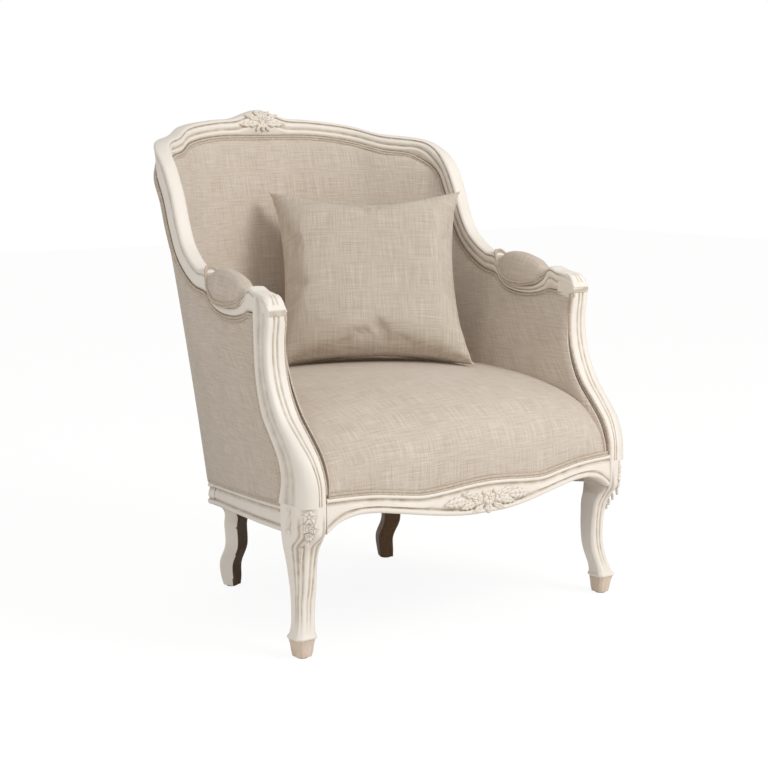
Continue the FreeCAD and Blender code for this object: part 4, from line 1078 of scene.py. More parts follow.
@dataclass
class Carver:
    """Leaves, blossoms and buds cut in low relief, each set on a face of the frame."""

    form: Form = field(default_factory=Form)

    def seated(self, points: np.ndarray, at: Sequence[float], along: Sequence[float],
               out: Sequence[float]) -> np.ndarray:
        """Set points on a face.

        Args:
            points: Points in millimetres: along, aside and out of the face.
            at: The place on the face.
            along: The direction that the first coordinate takes.
            out: The direction out of the face.

        Returns:
            The points in metres in the frame.
        """
        normal = unit(np.array(out, float))
        first = np.array(along, float)
        first = unit(first - normal * (first @ normal))
        turn = np.stack([first, np.cross(normal, first), normal])
        return placed(np.array(at, float) + points @ turn)

    def leaf(self, at: Sequence[float], along: Sequence[float], out: Sequence[float], length: float,
             width: float, height: float, lobes: int = 0, bend: float = 0.0) -> None:
        """Cut a leaf from its stem at a place along a direction.

        Args:
            at: Its stem's place.
            along: Where its tip points.
            out: The direction out of the face.
            length: Its length.
            width: Its width.
            height: How far it stands out.
            lobes: How many lobes each edge has.
            bend: How far its tip swings aside, in share of its length.
        """
        down, across = np.linspace(0, 1, 7 + 4 * lobes), np.linspace(-1, 1, 9)
        share, aside = np.meshgrid(down, across, indexing="ij")
        half = width / 2 * np.sin(math.pi * np.clip(share, 0.02, 0.985) ** 0.75) ** 0.7
        half = half * (1 + (0.16 * np.cos(2 * math.pi * lobes * share) if lobes else 0))
        vein = np.exp(-(aside / 0.16) ** 2)
        ribs = 0.16 * np.cos(2 * math.pi * (lobes + 1) * share + 3 * np.abs(aside)) * (lobes > 0)
        dome = (1 - aside ** 2) ** 0.5 * (0.55 + 0.45 * np.sin(math.pi * share))
        rise = height * (dome - 0.3 * vein + ribs * (1 - vein))
        swing = bend * length * share ** 2
        top = np.stack([share * length, aside * half + swing, rise], 2)
        base = np.stack([share * length, aside * half * 0.96 + swing, np.full_like(rise, -2.5)], 2)
        # Painted shade in the vein, along the edges and in the troughs between the ribs.
        shade = np.clip(0.75 * vein + (np.abs(aside) > 0.8) * 0.8 - 3 * ribs, 0, 1)
        both = np.stack([top, base])
        top, base = self.seated(both.reshape(-1, 3), at, along, out).reshape(both.shape)
        self.form.add_slab(top, base, shade)

    def bud(self, at: Sequence[float], out: Sequence[float], radius: float, height: float) -> None:
        """Cut a round bud."""
        turns = np.linspace(0, 2 * math.pi, 14, endpoint=False)
        rings = []
        for step in np.linspace(0, 1, 6):
            reach = radius * math.cos(step * math.pi / 2 * 0.96)
            lift = height * math.sin(step * math.pi / 2)
            rings.append(np.column_stack([reach * np.cos(turns), reach * np.sin(turns), np.full(14, lift)]))
        rings.insert(0, rings[0] - np.array([0, 0, 2.5]))
        stack = np.stack(rings)
        seated = self.seated(stack.reshape(-1, 3), at, (1.0, 0.0, 0.31), out).reshape(stack.shape)
        # Painted shade, darkest at the bud's foot.
        self.form.add_rings(seated, np.linspace(1, 0, 7)[:, None])

    def blossom(self, at: Sequence[float], out: Sequence[float], radius: float, height: float,
                petals: int = 5, start: float = 0.3) -> None:
        """Cut an open blossom: petals round a bud.

        Args:
            at: Its middle.
            out: The direction out of the face.
            radius: Its radius.
            height: How far its petals stand out.
            petals: How many petals it has.
            start: The turn of the first petal.
        """
        normal = unit(np.array(out, float))
        across = unit(np.cross((0.0, 0.0, 1.0), normal))
        up = np.cross(normal, across)
        for petal in range(petals):
            angle = start + 2 * math.pi * petal / petals
            way = across * math.cos(angle) + up * math.sin(angle)
            self.leaf(np.array(at) + way * radius * 0.12, way, out, radius * 0.95, radius * 1.05, height)
        self.bud(at, out, radius * 0.26, height * 1.15)


@dataclass
class Carvings:
    """The carved flowers and leaves on the crest, the front rail and the front legs' knees."""

    finishes: Finishes
    legs: "Legs"

    def crest(self) -> None:
        """Carve the shell of leaves at the middle of the crest."""
        carver = Carver()
        out = (0.0, -1.0, 0.24)

        def on_face(across: float, height: float) -> tuple[float, float, float]:
            return across, 398.5 - 0.22 * (970 - height) - 0.0012 * across ** 2, height

        for sign in (-1, 1):
            carver.leaf(on_face(sign * 8, 944), (sign, 0, -0.12), out, 50, 15, 4.0, 3, sign * 0.05)
            carver.leaf(on_face(sign * 6, 951), (sign, 0, 0.18), out, 36, 14, 4.6, 2, sign * 0.1)
            carver.leaf(on_face(sign * 4, 942), (sign * 0.6, 0, -0.8), out, 20, 10, 4.0, 1)
            carver.leaf(on_face(sign * 3, 956), (sign * 0.75, 0, 0.55), out, 20, 11, 4.6, 1)
            carver.bud(on_face(sign * 24, 957), out, 3.0, 3.6)
        carver.leaf(on_face(0, 950), (0, 0, -1), out, 25, 15, 5.2, 2)
        carver.leaf(on_face(0, 953), (0, 0, 1), out, 17, 16, 5.0, 1)
        carver.blossom(on_face(0, 952), out, 10, 5.6)
        dressed(carver.form.made("crest_carving"), [self.finishes.paint], "painted_wood")

    def apron(self) -> None:
        """Carve the blossoms and acanthus leaves at the middle of the front rail."""
        carver = Carver()
        out = (0.0, -1.0, 0.1)

        def on_face(across: float, height: float) -> tuple[float, float, float]:
            return across, -355.0 + 0.0006 * across ** 2, height

        for sign in (-1, 1):
            carver.leaf(on_face(sign * 52, 256), (sign, 0, 0.05), out, 50, 20, 4.6, 4, -sign * 0.1)
            carver.leaf(on_face(sign * 30, 262), (sign, 0, 0.25), out, 34, 13, 4.4, 2)
            carver.leaf(on_face(sign * 30, 250), (sign, 0, -0.2), out, 36, 14, 4.4, 3)
            carver.leaf(on_face(sign * 12, 244), (sign * 0.8, 0, -0.35), out, 30, 12, 4.2, 2)
            carver.blossom(on_face(sign * 26, 256), out, 12, 5.4, 5, 0.2 + sign)
            carver.bud(on_face(sign * 44, 264), out, 3.6, 4.2)
            carver.bud(on_face(sign * 48, 247), out, 3.2, 4.0)
            carver.bud(on_face(sign * 13, 268), out, 3.4, 4.4)
        carver.leaf(on_face(0, 248), (0, 0, -1), out, 21, 20, 4.6, 2)
        carver.blossom(on_face(0, 256), out, 14, 6.2, 6)
        dressed(carver.form.made("front_rail_carving"), [self.finishes.paint], "painted_wood")

    def knees(self) -> None:
        """Carve the blossoms and the drop of bell flowers on both knees."""
        for side in Side:
            carver = Carver()
            heights, outlines = self.legs.front_levels()

            def on_face(aside: float, height: float) -> np.ndarray:
                outline = hermite(-heights, outlines, np.array([-height]))[0].reshape(8, 2)
                middle, way = (outline[0] + outline[7]) / 2, unit(outline[7] - outline[0])
                place = middle + way * aside
                return np.array([place[0] * side.value, place[1], height])

            out = (0.7 * side.value, -0.7, 0.1)
            turn = (0.7, 0.7 * side.value, 0)
            carver.blossom(on_face(-4, 263), out, 13.5, 5.4)
            carver.blossom(on_face(-11, 244), out, 9.5, 4.8, 5, 1.1)
            carver.blossom(on_face(5, 242), out, 9.0, 4.8, 5, 0.6)
            for sign in (-1, 1):
                way = (sign * turn[0], sign * turn[1], 0.5)
                carver.leaf(on_face(sign * 5, 266), way, out, 15, 9, 3.6, 1)
                carver.leaf(on_face(sign * 4, 250), (way[0], way[1], -0.3), out, 14, 8, 3.6, 1)
            carver.blossom(on_face(-4, 228), out, 8.0, 4.6, 5, 0.1)
            for height, length, width in ((222, 17, 10), (207, 15, 9), (194, 13, 7.5), (183, 11, 6)):
                carver.leaf(on_face(-3, height), (0, 0, -1), out, length, width, 3.6, 1)
            name = f"knee_carving_{side.word}"
            dressed(carver.form.made(name), [self.finishes.paint], "painted_wood")

    def make(self) -> None:
        """Carve everything."""
        self.crest()
        self.apron()
        self.knees()


@dataclass
class DustCover:
    """The dust cloth under the seat, pinned inside the rails and lifted behind the front rail's arches."""

    finishes: Finishes
    rails: SeatRails

    def make(self) -> None:
        """Make the dust cover."""
        depths = np.linspace(-294, 174, 40)
        shares = np.linspace(-1, 1, 31)
        half = np.minimum(self.rails.rail_outside(np.maximum(depths, -243)) - 28, 343)
        half = np.where(depths > 150, np.minimum(half, 198), half)
        rise = 27 * np.clip((-190 - depths) / 100, 0, 1) ** 0.8
        level = seat_level(depths) - 46.5 + rise
        sag = 3.0 * np.sin(np.linspace(0, math.pi, 40))[:, None] * (1 - shares ** 2)[None, :]
        along = np.repeat(depths[:, None], 31, 1)
        grid = np.stack([half[:, None] * shares[None, :], along, level[:, None] - sag], 2)
        form = Form()
        form.add_slab(placed(grid), placed(grid + np.array([0, 0, 0.8])))
        dressed(form.made("dust_cloth"), [self.finishes.dust_cloth], "dust_cloth", "dust_cover")


# Upholstery.


@dataclass
class Shell:
    """The upholstered shell between the rim and the seat frame: lines from the rim's stations down."""

    rim: Rim
    stump: Stump
    rails: SeatRails

    def feet(self) -> np.ndarray:
        """Return where the shell's outside meets the seat frame below each station, at both sides."""
        half = len(self.rim.stations) // 2 + 1
        right = self.rim.stations[:half]
        count = len(self.rim.scoop) + len(self.rim.rise)
        front, back = right[0, 1], right[count - 1, 1]
        depths = front - 3 + (right[:count, 1] - front) * (160 - (front - 3)) / (back - front)
        feet = [(x, y) for x, y in zip(self.rails.rail_outside(depths), depths)]
        feet += [(251.0, 221.0), (236.0, 236.0)]
        arch = right[count + 1:, 0]
        for x in arch[1:]:
            across = BACK_ARC[0] * x / arch[1]
            feet.append((across, back_arc(across)))
        feet = np.array(feet)
        return np.concatenate([feet, feet[-2::-1] * np.array([-1, 1])])

    def lines(self, places: np.ndarray, at_rim: float, at_foot: float,
              inside: bool) -> tuple[np.ndarray, ...]:
        """Return the top and the foot of the shell's face at places along the rim.

        Args:
            places: Where along the rim.
            at_rim: Millimetres through the shell at the rim, from its inner or outer face.
            at_foot: Millimetres through the shell at the seat frame.
            inside: Whether the distance at the rim is from the rim's inner face.

        Returns:
            The tops, the feet and the directions through the shell.
        """
        edge, through, down = self.rim.at(places)
        feet = hermite(self.rim.knots, self.feet(), places)
        inward = unit(through)
        start = np.linalg.norm(through, axis=1) if inside else 0
        high = edge + down + inward * (start + at_rim)[:, None] if inside else edge + down + inward * at_rim
        low = np.column_stack([feet, np.zeros(len(feet))]) + inward * at_foot
        low[:, 2] = seat_level(low[:, 1])
        return high, low, inward

    def grid(self, places: np.ndarray, faces: tuple[float, float], inside: bool, rows: int, crown: float,
             puff: float, limit: str | None, columns: int) -> tuple[np.ndarray, np.ndarray]:
        """Return the grid of an upholstered face and its hidden back.

        Args:
            places: Where along the rim it runs.
            faces: Millimetres through the shell at the rim and at the seat frame.
            inside: Whether it is the sitter's side.
            rows: How many rows it has from the rim down.
            crown: How far its middle bulges.
            puff: How far it rises from its edges.
            limit: The stump's edge that its front follows, "front" or "back", or None.
            columns: How many columns it has.

        Returns:
            The front and back grids in metres.
        """
        high, low, inward = self.lines(places, *faces, inside)
        toward = inward if inside else -inward
        grid, ways = [], []
        for row in range(rows):
            share = 1 - row / (rows - 1)
            line = low + (high - low) * share + toward * (4 * share * (1 - share) * crown)
            way = toward
            if limit:
                line, way = self.clipped(line, way, limit)
            merged = resampled(np.column_stack([line, way]), columns)
            grid.append(merged[:, :3])
            ways.append(unit(merged[:, 3:]))
        front, ways = np.stack(grid), np.stack(ways)
        across, down = grid_lengths(front)
        if places[0] >= self.rim.knots[-1] / 2:
            across = across[:, -1:] - across
        near = np.minimum(down, across) if limit else down
        rise = 1 - (1 - np.clip(near / 16, 0, 1)) ** 2
        shown = front + ways * (puff * rise)[:, :, None]
        return placed(shown), placed(front - ways * 3.0)

    def clipped(self, line: np.ndarray, way: np.ndarray, limit: str) -> tuple[np.ndarray, np.ndarray]:
        """Start or end a row of a panel at the arm stump's edge."""
        right = line[0, 0] > 0 and line[0, 1] < line[-1, 1]
        if not right:
            line, way = line[::-1], way[::-1]
        edges = self.stump.read(line[:1, 2])[0]
        stop = edges[0] + 5 if limit == "front" else edges[1] - 4
        keep = line[:, 1] > stop + 1
        start = line[0].copy() if line[0, 1] > stop else np.array(
            [np.interp(stop, line[:, 1], line[:, axis]) for axis in range(3)])
        start[1] = stop
        line, way = np.concatenate([start[None], line[keep]]), np.concatenate([way[:1], way[keep]])
        return (line, way) if right else (line[::-1], way[::-1])


@dataclass
class Panels:
    """The linen on both sides of the shell."""

    finishes: Finishes
    shell: Shell
    # Millimetres through the shell at the rim, from its near face, and at the seat frame.
    inner_faces: tuple[float, float] = (-5.0, 42.0)
    outer_faces: tuple[float, float] = (5.0, 4.0)
    # How far the linen bulges on the sitter's side.
    back_crown: float = 14.0
    side_crown: float = 12.0

    def panel(self, places: np.ndarray, inside: bool, name: str, nodes: Sequence[str], rows: int,
              columns: int, limit: str | None) -> None:
        """Make the linen of one face of a side or of the back.

        Args:
            places: Where along the rim it runs.
            inside: Whether it is the sitter's side.
            name: The piece's name.
            nodes: The CAD nodes it replaces.
            rows: How many rows of points it has.
            columns: How many columns of points it has.
            limit: The arm stump's edge that its front follows, or None.
        """
        faces, puff = (self.inner_faces, 5.0) if inside else (self.outer_faces, 3.0)
        crown = (self.back_crown if limit is None else self.side_crown) if inside else 1.5
        front, back = self.shell.grid(places, faces, inside, rows, crown, puff, limit, columns)
        form = Form()
        form.add_slab(front, back, upright=True)
        piece = form.made(name)
        dressed(piece, [self.finishes.linen], "linen", *nodes)

    def make(self) -> None:
        """Make the inside and outside panels."""
        rim = self.shell.rim
        ear = rim.corners[2]
        last = len(rim.knots) - 1
        for side, first, end in ((Side.RIGHT, 0, ear), (Side.LEFT, last - ear, last)):
            places = rim.span(first, end, 7.0)
            for inside, word, limit in ((True, "inside", "front"), (False, "outside", "back")):
                covers = ("inside_side_cover", "inside_side_foam") if inside else ("outside_side_panel",)
                nodes = [f"{cover}_{side.word}" for cover in covers]
                self.panel(places, inside, f"{word}_side_linen_{side.word}", nodes, 44, 80, limit)
        places = rim.span(ear, last - ear, 8.0)
        nodes = ("inside_back_cover", "inside_back_foam")
        self.panel(places, True, "inside_back_linen", nodes, 60, 150, None)
        self.panel(places, False, "outside_back_linen", ("outside_back_panel",), 60, 150, None)


@dataclass
class Seat:
    """The sprung seat: a crowned top that turns down at the front into the rail's welt."""

    finishes: Finishes
    rails: SeatRails
    # From the front rail's welt up and back: depth and height at the middle, and at the sides.
    middle: tuple = (
        (-348, 284), (-350, 300), (-350, 330), (-343, 362), (-326, 392), (-296, 417), (-250, 436),
        (-190, 450),
        (-110, 460), (-20, 465), (80, 463), (170, 457), (250, 450), (300, 446), (330, 440),
    )
    side: tuple = (
        (-312, 284), (-311, 296), (-304, 318), (-294, 342), (-279, 364), (-256, 384), (-222, 400),
        (-172, 414),
        (-105, 427), (-20, 436), (60, 438), (130, 436), (190, 432), (225, 430), (245, 428),
    )
    # Half width of the seat by depth at the side.
    half_widths: tuple = ((-330, 344), (-240, 343), (-170, 340), (-100, 337), (20, 326), (90, 304),
                           (150, 276), (200, 240),
                          (245, 182))

    def make(self) -> None:
        """Make the seat."""
        middle, side = np.array(self.middle, float), np.array(self.side, float)
        knots = chord(middle)
        at = np.linspace(0, knots[-1], 76)
        centre, flank = hermite(knots, middle, at), hermite(knots, side, at)
        widths = np.array(self.half_widths, float)
        shares = np.linspace(-1, 1, 91)
        behind, up, _ = self.rails.wave_at(shares).T
        rows = []
        for index in range(len(at)):
            weight = np.abs(shares) ** 2.4
            depth = centre[index, 0] + (flank[index, 0] - centre[index, 0]) * weight
            height = centre[index, 1] + (flank[index, 1] - centre[index, 1]) * weight
            half = np.interp(flank[index, 0], widths[:, 0], widths[:, 1])
            blend = np.clip(1 - at[index] / 110, 0, 1) ** 1.2
            depth = depth * (1 - blend) + blend * (-self.rails.reach + behind + 8)
            height = height + blend * up
            rows.append(np.column_stack([shares * half, depth, height]))
        front = np.stack(rows)
        edge = 8 * np.clip(np.abs(shares) * 12 - 11, 0, 1) ** 2
        front[:, :, 2] -= edge[None, :] * np.clip((at - 120) / 60, 0, 1)[:, None]
        back = front.copy()
        back[:, :, 2] = seat_level(front[:, :, 1]) + 6
        back[:, :, 1] = np.clip(front[:, :, 1] * 0.72, -335, 190)
        limit = self.rails.rail_outside(back[:, :, 1]) - 48
        back[:, :, 0] = np.clip(back[:, :, 0], -limit, limit)
        form = Form()
        form.add_slab(placed(front), placed(back))
        flat = placed(front).reshape(-1, 3)
        run = np.repeat(chord(placed(front)[:, 45]), 91)
        anchors = list(zip(flat[:, 0], run)) * 2
        form.threads = [tuple(anchors[index] for index in face) for face in form.faces]
        piece = form.made("seat_linen")
        dressed(piece, [self.finishes.linen], "linen", "seat_cover", "seat_foam")


@dataclass
class ArmPads:
    """The small egg-shaped pads in the scoops of the arms."""

    finishes: Finishes
    rim: Rim
    tops: tuple = ((-126, 651), (-110, 657), (-77, 670), (-33, 679), (-8, 678), (20, 670), (34, 668))
    reach: tuple[float, float] = (-128.0, 36.0)
    half_width: float = 26.0

    def profile(self, depths: np.ndarray) -> tuple[np.ndarray, np.ndarray, np.ndarray, np.ndarray]:
        """Return the pad's middle across, half width, base and top at depths."""
        scoop = np.array(self.rim.scoop + ((40, 34, 22, 16),), float)
        base = self.rim.arm_top + np.interp(depths, scoop[:, 0], scoop[:, 1]) - 1
        outer = self.rim.arm_span - np.interp(depths, scoop[:, 0], scoop[:, 3])
        width = np.interp(depths, (-208, 26), (40, 31))
        middle, half = np.mean(self.reach), np.ptp(self.reach) / 2
        round_off = np.sqrt(np.clip(1 - np.abs((depths - middle) / half) ** 2.4, 0, 1))
        tops = np.array(self.tops, float)
        top = hermite(tops[:, 0], tops[:, 1:], depths)[:, 0]
        return outer - width / 2, self.half_width * round_off, base, np.maximum(top, base + 0.5)

    def make(self) -> None:
        """Make both pads."""
        for side in Side:
            low, high = self.reach
            depths = (low + high) / 2 - np.cos(np.linspace(0, math.pi, 46)) * (high - low) / 2
            middle, half, base, top = self.profile(depths)
            rings = []
            angles = np.linspace(0, 2 * math.pi, 40, endpoint=False)
            for index, depth in enumerate(depths):
                half_here = max(half[index], 0.4)
                rise = (top[index] - base[index]) * min(1, half_here / self.half_width * 1.15)
                height = np.sin(angles)
                lift = np.where(height > 0, np.abs(height) ** 0.8 * rise, height * 3)
                aside = np.sign(np.cos(angles)) * np.abs(np.cos(angles)) ** 0.8 * half_here
                across = (middle[index] + aside) * side.value
                rings.append(np.column_stack([across, np.full(40, depth), base[index] + lift]))
            form = Form()
            form.add_rings(placed(np.stack(rings)))
            piece = form.made(f"arm_pad_{side.word}_linen")
            dressed(piece, [self.finishes.linen], "linen", f"arm_pad_{side.word}")


@dataclass
class Cushion:
    """The loose knife-edge scatter cushion, which leans in the back, turned to the left arm."""

    finishes: Finishes
    size: float = 424.0
    depth: float = 112.0
    shift: tuple[float, float, float] = (9.0, 0.0, 2.0)
    lean: float = 33.0
    turn: float = 32.0
    corner_pull: float = 0.11
    # The cloth's own settings, its mesh size and its longest move in metres, and its frames.
    cloth: tuple = (
        ("use_pressure", True), ("uniform_pressure_force", 4.0), ("mass", 0.3), ("tension_stiffness", 25),
        ("compression_stiffness", 25), ("shear_stiffness", 12), ("bending_stiffness", 0.6),
    )
    voxel: float = 0.006
    farthest: float = 0.014
    frames: int = 20

    def frame_at(self) -> Matrix:
        """Return the cushion's place: across, out of its face and up its face."""
        low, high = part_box("cushion_cover")
        middle = (low + high) / 2 + Vector(self.shift) * MM
        turn = Matrix.Rotation(math.radians(-self.turn), 4, "Z")
        lean = Matrix.Rotation(math.radians(-self.lean), 4, "X")
        return Matrix.Translation(middle) @ turn @ lean

    def flat(self) -> Form:
        """Return the cushion before it is filled out, in its own frame."""
        count = 44
        line = np.linspace(-1, 1, count)
        across, up = np.meshgrid(line, line)
        pull = 1 - self.corner_pull * (1 - up ** 2) * np.abs(across) ** 3
        rise = 1 - self.corner_pull * (1 - across ** 2) * np.abs(up) ** 3
        half = self.size / 2 * MM
        x, z = across * pull * half, up * rise * half
        dome = ((1 - across ** 4) * (1 - up ** 4)) ** 0.55
        belly = 1 + 0.12 * (0.2 - up) * (1 - across ** 2)
        y = self.depth / 2 * MM * dome * belly
        sag = -0.012 * np.clip(up, 0, 1) ** 6 * (1 - across ** 2)
        front = np.stack([x, -y - 0.001, z + sag], 2)
        back = np.stack([x, y + 0.001, z + sag], 2)
        form = Form()
        form.add_slab(front, back)
        return form

    def filled(self, piece: Object) -> None:
        """Fill the cushion out with a short cloth simulation and cap how far its points move."""
        work = linked("cushion_in_work", piece.data.copy())
        remesh = work.modifiers.new("even", "REMESH")
        remesh.mode, remesh.voxel_size = "VOXEL", self.voxel
        rest = np.array([vertex.co for vertex in settled(work).vertices])
        cloth = work.modifiers.new("cloth", "CLOTH")
        for name, value in self.cloth:
            setattr(cloth.settings, name, value)
        cloth.settings.effector_weights.gravity = 0.0
        scene = bpy.context.scene
        for number in range(1, self.frames + 1):
            scene.frame_set(number)
        moved = evaluated(work)
        scene.frame_set(1)
        now = np.array([vertex.co for vertex in moved.vertices])
        shift = now - rest
        length = np.linalg.norm(shift, axis=1, keepdims=True)
        shift *= np.minimum(1, self.farthest / np.maximum(length, 1e-9))
        moved.vertices.foreach_set("co", (rest + shift).reshape(-1))
        bpy.data.objects.remove(work)
        piece.data = moved

    def make(self) -> None:
        """Make the cushion."""
        piece = self.flat().made("scatter_cushion", 180)
        self.filled(piece)
        finer = piece.modifiers.new("finer", "SUBSURF")
        finer.levels = finer.render_levels = 1
        mesh = settled(piece)
        corners = corner_points(mesh)
        # The back face takes its threads from another stretch of the cloth.
        lay_threads(mesh, corners[:, (0, 2)] + np.where(corners[:, 1:2] > 0, 3.7, 0.0))
        mesh.transform(self.frame_at())
        mesh.shade_smooth()
        dressed(piece, [self.finishes.cushion], "cushion_linen", "cushion_cover", "cushion_filling",
                body="cushion")


# Welts.


def welt_tree() -> NodeTree:
    """Build the tree that lays two cords side by side along a line of points.

    Returns:
        The tree, with the inputs Cord Radius and Cord Gap and Finish.
    """
    tree = bpy.data.node_groups.new("double_welt", "GeometryNodeTree")
    sockets = tree.interface
    sockets.new_socket("Geometry", in_out="INPUT", socket_type="NodeSocketGeometry")
    for name, value in (("Cord Radius", 0.0026), ("Cord Gap", 0.0024)):
        socket = sockets.new_socket(name, in_out="INPUT", socket_type="NodeSocketFloat")
        socket.default_value = value
    sockets.new_socket("Finish", in_out="INPUT", socket_type="NodeSocketMaterial")
    sockets.new_socket("Geometry", in_out="OUTPUT", socket_type="NodeSocketGeometry")
    given = add_node(tree, "NodeGroupInput")
    line = add_node(tree, "GeometryNodeMeshToCurve", {0: given.outputs["Geometry"]})
    across = add_node(tree, "GeometryNodeInputNamedAttribute", {
        "Name": "across"}, data_type="FLOAT_VECTOR")
    ring = add_node(tree, "GeometryNodeCurvePrimitiveCircle", {
        "Resolution": 8, "Radius": given.outputs["Cord Radius"]})
    cords = []
    for sign in (-1, 1):
        reach = add_node(tree, "ShaderNodeMath", {
            0: given.outputs["Cord Gap"], 1: float(sign)}, operation="MULTIPLY")
        shift = add_node(tree, "ShaderNodeVectorMath", {
            0: across.outputs["Attribute"], "Scale": reach.outputs[0]}, operation="SCALE")
        moved = add_node(tree, "GeometryNodeSetPosition", {
            0: line.outputs[0], "Offset": shift.outputs[0]})
        cord = add_node(tree, "GeometryNodeCurveToMesh", {
            "Curve": moved.outputs[0], "Profile Curve": ring.outputs[0], "Fill Caps": True})
        cords.append(cord.outputs[0])
    both = add_node(tree, "GeometryNodeJoinGeometry")
    for cord in cords:
        tree.links.new(cord, both.inputs[0])
    real = add_node(tree, "GeometryNodeRealizeInstances", {0: both.outputs[0]})
    finish = add_node(tree, "GeometryNodeSetMaterial", {
        0: real.outputs[0], "Material": given.outputs["Finish"]})
    end = add_node(tree, "NodeGroupOutput")
    tree.links.new(finish.outputs[0], end.inputs[0])
    return tree


@dataclass
class Welts:
    """The double welts that hide every edge where linen meets wood."""

    finishes: Finishes
    rim: Rim
    stump: Stump
    rails: SeatRails
    pads: ArmPads
    radius: float = 2.7
    gap: float = 2.5
    # How far the ends of the arm pads' welts are tucked down, in millimetres.
    tuck: float = 5.0

    def laid(self, name: str, runs: Sequence[tuple[np.ndarray, np.ndarray]]) -> None:
        """Lay double welts along runs.

        Args:
            name: The piece's name.
            runs: For each run its points in millimetres and the direction from one cord to the other.
        """
        points, edges, ways = [], [], []
        for line, way in runs:
            joined = resampled(np.column_stack([line, way]), max(8, int(chord(line)[-1] / 4)))
            base = len(points)
            points.extend(map(tuple, placed(joined[:, :3])))
            ways.extend(map(tuple, unit(joined[:, 3:])))
            edges.extend((base + step, base + step + 1) for step in range(len(joined) - 1))
        mesh = bpy.data.meshes.new(name)
        mesh.from_pydata(points, edges, [])
        across = mesh.attributes.new("across", "FLOAT_VECTOR", "POINT")
        across.data.foreach_set("vector", [value for way in ways for value in way])
        piece = linked(name, mesh)
        tree = welt_tree()
        nodes = piece.modifiers.new("double_welt", "NODES")
        nodes.node_group = tree
        values = {"Cord Radius": self.radius * MM, "Cord Gap": self.gap * MM, "Finish": self.finishes.welt}
        for socket in tree.interface.items_tree:
            if socket.in_out == "INPUT" and socket.name in values:
                nodes[socket.identifier] = values[socket.name]
        made = settled(piece)
        across, along, up = corner_points(made).T
        lay_threads(made, np.column_stack([across + along, up * 0.7 + along * 0.3]))
        made.shade_smooth()
        dressed(piece, [self.finishes.welt], "linen")

    def rim_run(self, inside: bool) -> tuple[np.ndarray, np.ndarray]:
        """Return the welt along the rim's lower edge, inside or outside."""
        places = self.rim.span(0 if inside else 3, len(self.rim.knots) - (1 if inside else 4), 5.0)
        edge, through, down = self.rim.at(places)
        inward, below = unit(through), unit(down)
        reach = np.linalg.norm(through, axis=1) - 1.5 if inside else np.full(len(places), 1.5)
        line = edge + down + inward * reach[:, None] + below * 4.2
        return line, below

    def stump_run(self, side: Side, inside: bool) -> tuple[np.ndarray, np.ndarray]:
        """Return the welt down an arm stump's edge."""
        heights = np.linspace(604, 300 if inside else 276, 60)
        front, back, _ = self.stump.read(heights).T
        _, outer, inner = self.stump.sides(heights)
        across = (inner - 1.0) if inside else (outer - 2.5)
        depth = front + 6.5 if inside else back + 4.0
        line = np.column_stack([across * side.value, depth, heights])
        slope = unit(np.column_stack([np.zeros(60), np.gradient(heights), -np.gradient(depth)]))
        return line, slope

    def make(self) -> None:
        """Make every welt."""
        self.laid("inner_edge_welt", [self.rim_run(True)] + [self.stump_run(side, True) for side in Side])
        self.laid("outer_edge_welt", [self.rim_run(False)] + [self.stump_run(side, False) for side in Side])
        shares = np.linspace(-0.985, 0.985, 120)
        behind, up, _ = self.rails.wave_at(shares).T
        depths = -self.rails.reach + behind + 4.5
        line = np.column_stack([shares * self.rails.half, depths, self.rails.top + up + 3.4])
        self.laid("front_rail_welt", [(line, np.tile((0.0, 0.25, 1.0), (len(line), 1)))])
        depths = np.linspace(-240, 200, 60)
        sides = np.column_stack([self.rails.rail_outside(depths) - 2.0, depths])
        arc = np.linspace(198, 0, 30)
        behind = np.column_stack([arc, back_arc(arc) - 2.0])
        right = np.concatenate([sides, [(251, 219), (236, 234)], behind])
        whole = np.concatenate([right, right[-2::-1] * np.array([-1, 1])])
        line = np.column_stack([whole, seat_level(whole[:, 1]) + 4.0])
        self.laid("rail_welt", [(line, np.tile((0.0, 0.0, 1.0), (len(line), 1)))])
        for side in Side:
            self.laid(f"arm_pad_welt_{side.word}", self.pad_runs(side))

    def pad_runs(self, side: Side) -> list[tuple[np.ndarray, np.ndarray]]:
        """Return the welts round the lower edge of an arm pad."""
        low, high = self.pads.reach
        half_turn = (low + high) / 2 - np.cos(np.linspace(0, math.pi, 40)) * (high - low) / 2
        runs = []
        middle, half, base, _ = self.pads.profile(half_turn)
        for sign in (-1, 1):
            line = np.column_stack([(middle + sign * (half + 0.5)) * side.value, half_turn, base + 1.2])
            line[(0, -1), 2] -= self.tuck
            way = np.tile((sign * side.value * 0.25, 0.0, 1.0), (len(line), 1))
            runs.append((line, way))
        return runs


# Studio.


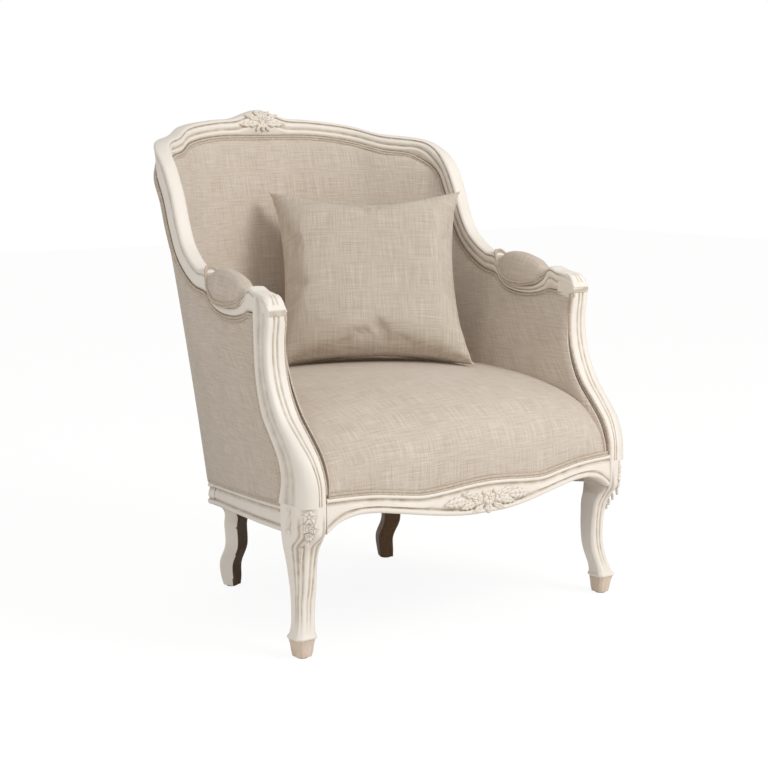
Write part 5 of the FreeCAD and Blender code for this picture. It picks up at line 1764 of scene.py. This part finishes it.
@dataclass
class Studio:
    """The camera at the photograph's angle, soft lights and a pale floor."""

    eye: tuple[float, float, float] = (-2.12551, -2.85867, 0.95186)
    yaw: float = 37.34
    pitch: float = 8.44
    lens: float = 83.71
    # Each light: its name, its place, what it points at, its side in metres and its power in watts.
    lights: tuple = (
        ("key_light", (1.2, -2.6, 2.6), (0, 0, 0.45), 1.6, 62.0),
        ("fill_light", (-2.8, -1.6, 1.7), (0, 0, 0.5), 2.2, 14.0),
    )
    # Strength of the white all round, and the share and strength of white in the floor as it is seen.
    surroundings: float = 0.55
    floor_share: float = 0.86
    floor_glow: float = 1.06
    floor_half: float = 9.0

    def make_camera(self) -> None:
        """Make the camera."""
        yaw, pitch = math.radians(self.yaw), math.radians(self.pitch)
        ahead = Vector((math.sin(yaw) * math.cos(pitch), math.cos(yaw) * math.cos(pitch), -math.sin(pitch)))
        right = Vector((math.cos(yaw), -math.sin(yaw), 0.0))
        up = right.cross(ahead)
        camera = bpy.data.cameras.new("camera")
        camera.lens, camera.sensor_width = self.lens, 36.0
        holder = linked("camera", camera)
        turn = Matrix((right, up, -ahead)).transposed().to_4x4()
        holder.matrix_world = Matrix.Translation(self.eye) @ turn
        bpy.context.scene.camera = holder

    def make_light(self, name: str, place: tuple, aim: tuple, size: float, power: float) -> None:
        """Make a square soft light.

        Args:
            name: Its name.
            place: Where it hangs.
            aim: What it points at.
            size: Its side in metres.
            power: Its power in watts.
        """
        lamp = bpy.data.lights.new(name, "AREA")
        lamp.size, lamp.energy = size, power
        holder = linked(name, lamp)
        holder.location = place
        holder.rotation_euler = (Vector(aim) - Vector(place)).to_track_quat("-Z", "Y").to_euler()

    def make(self) -> None:
        """Make the camera, the lights, the world and the floor."""
        scene = bpy.context.scene
        scene.view_settings.view_transform = "Standard"
        self.make_camera()
        for light in self.lights:
            self.make_light(*light)
        world = bpy.data.worlds.new("studio")
        world.use_nodes = True
        scene.world = world
        tree = world.node_tree
        tree.nodes.clear()
        seen = add_node(tree, "ShaderNodeLightPath").outputs["Is Camera Ray"]
        level = add_node(tree, "ShaderNodeMapRange", {
            "Value": seen, "To Min": self.surroundings, "To Max": 1.0})
        sky = add_node(tree, "ShaderNodeBackground", {
            "Color": linear("#FFFFFF"), "Strength": level.outputs[0]})
        add_node(tree, "ShaderNodeOutputWorld", {0: sky.outputs[0]})
        mesh = bpy.data.meshes.new("floor")
        far = self.floor_half
        mesh.from_pydata([(-far, -far, 0), (far, -far, 0), (far, far, 0), (-far, far, 0)], [], [(0, 1, 2, 3)])
        floor = linked("floor", mesh)
        material, tree = new_material("white_floor")
        path = add_node(tree, "ShaderNodeLightPath")
        matt = add_node(tree, "ShaderNodeBsdfDiffuse", {"Color": linear("#F4F2EF")})
        glow = add_node(tree, "ShaderNodeEmission", {"Color": linear("#FFFFFF"), "Strength": self.floor_glow})
        share = add_node(tree, "ShaderNodeMath", {
            0: path.outputs["Is Camera Ray"], 1: self.floor_share}, operation="MULTIPLY")
        mixed = add_node(tree, "ShaderNodeMixShader", {
            0: share.outputs[0], 1: matt.outputs[0], 2: glow.outputs[0]})
        floor.data.materials.append(finished(material, mixed))


@dataclass
class HiddenParts:
    """The CAD parts that keep their shape and only get their finish."""

    finishes: Finishes

    def make(self) -> None:
        """Finish the carried-over nodes."""
        finishes = self.finishes
        chosen = {
            "seat_webbing": finishes.webbing, "corner_block_screws": finishes.steel,
            "foot_glides": finishes.felt, "corner_block": finishes.beech,
            "frame_dowels": finishes.beech, "side_upright": finishes.beech,
            "back_upright": finishes.beech,
        }
        for name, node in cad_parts.items():
            fitting = [finish for start, finish in chosen.items() if name.startswith(start)]
            node.data.materials.clear()
            node.data.materials.append(fitting[0] if fitting else finishes.paint)


def main() -> None:
    """Build the chair's pieces in order."""
    finishes = Finishes()
    rim, stump = Rim(), Stump()
    HiddenParts(finishes).make()
    ShowFrame(finishes, rim).make()
    ArmStumps(finishes, stump).make()
    rails = SeatRails(finishes)
    rails.make()
    legs = Legs(finishes)
    legs.make()
    Carvings(finishes, legs).make()
    DustCover(finishes, rails).make()
    shell = Shell(rim, stump, rails)
    Panels(finishes, shell).make()
    Seat(finishes, rails).make()
    pads = ArmPads(finishes, rim)
    pads.make()
    Welts(finishes, rim, stump, rails, pads).make()
    Cushion(finishes).make()
    Studio().make()


if __name__ == "__main__":
    main()
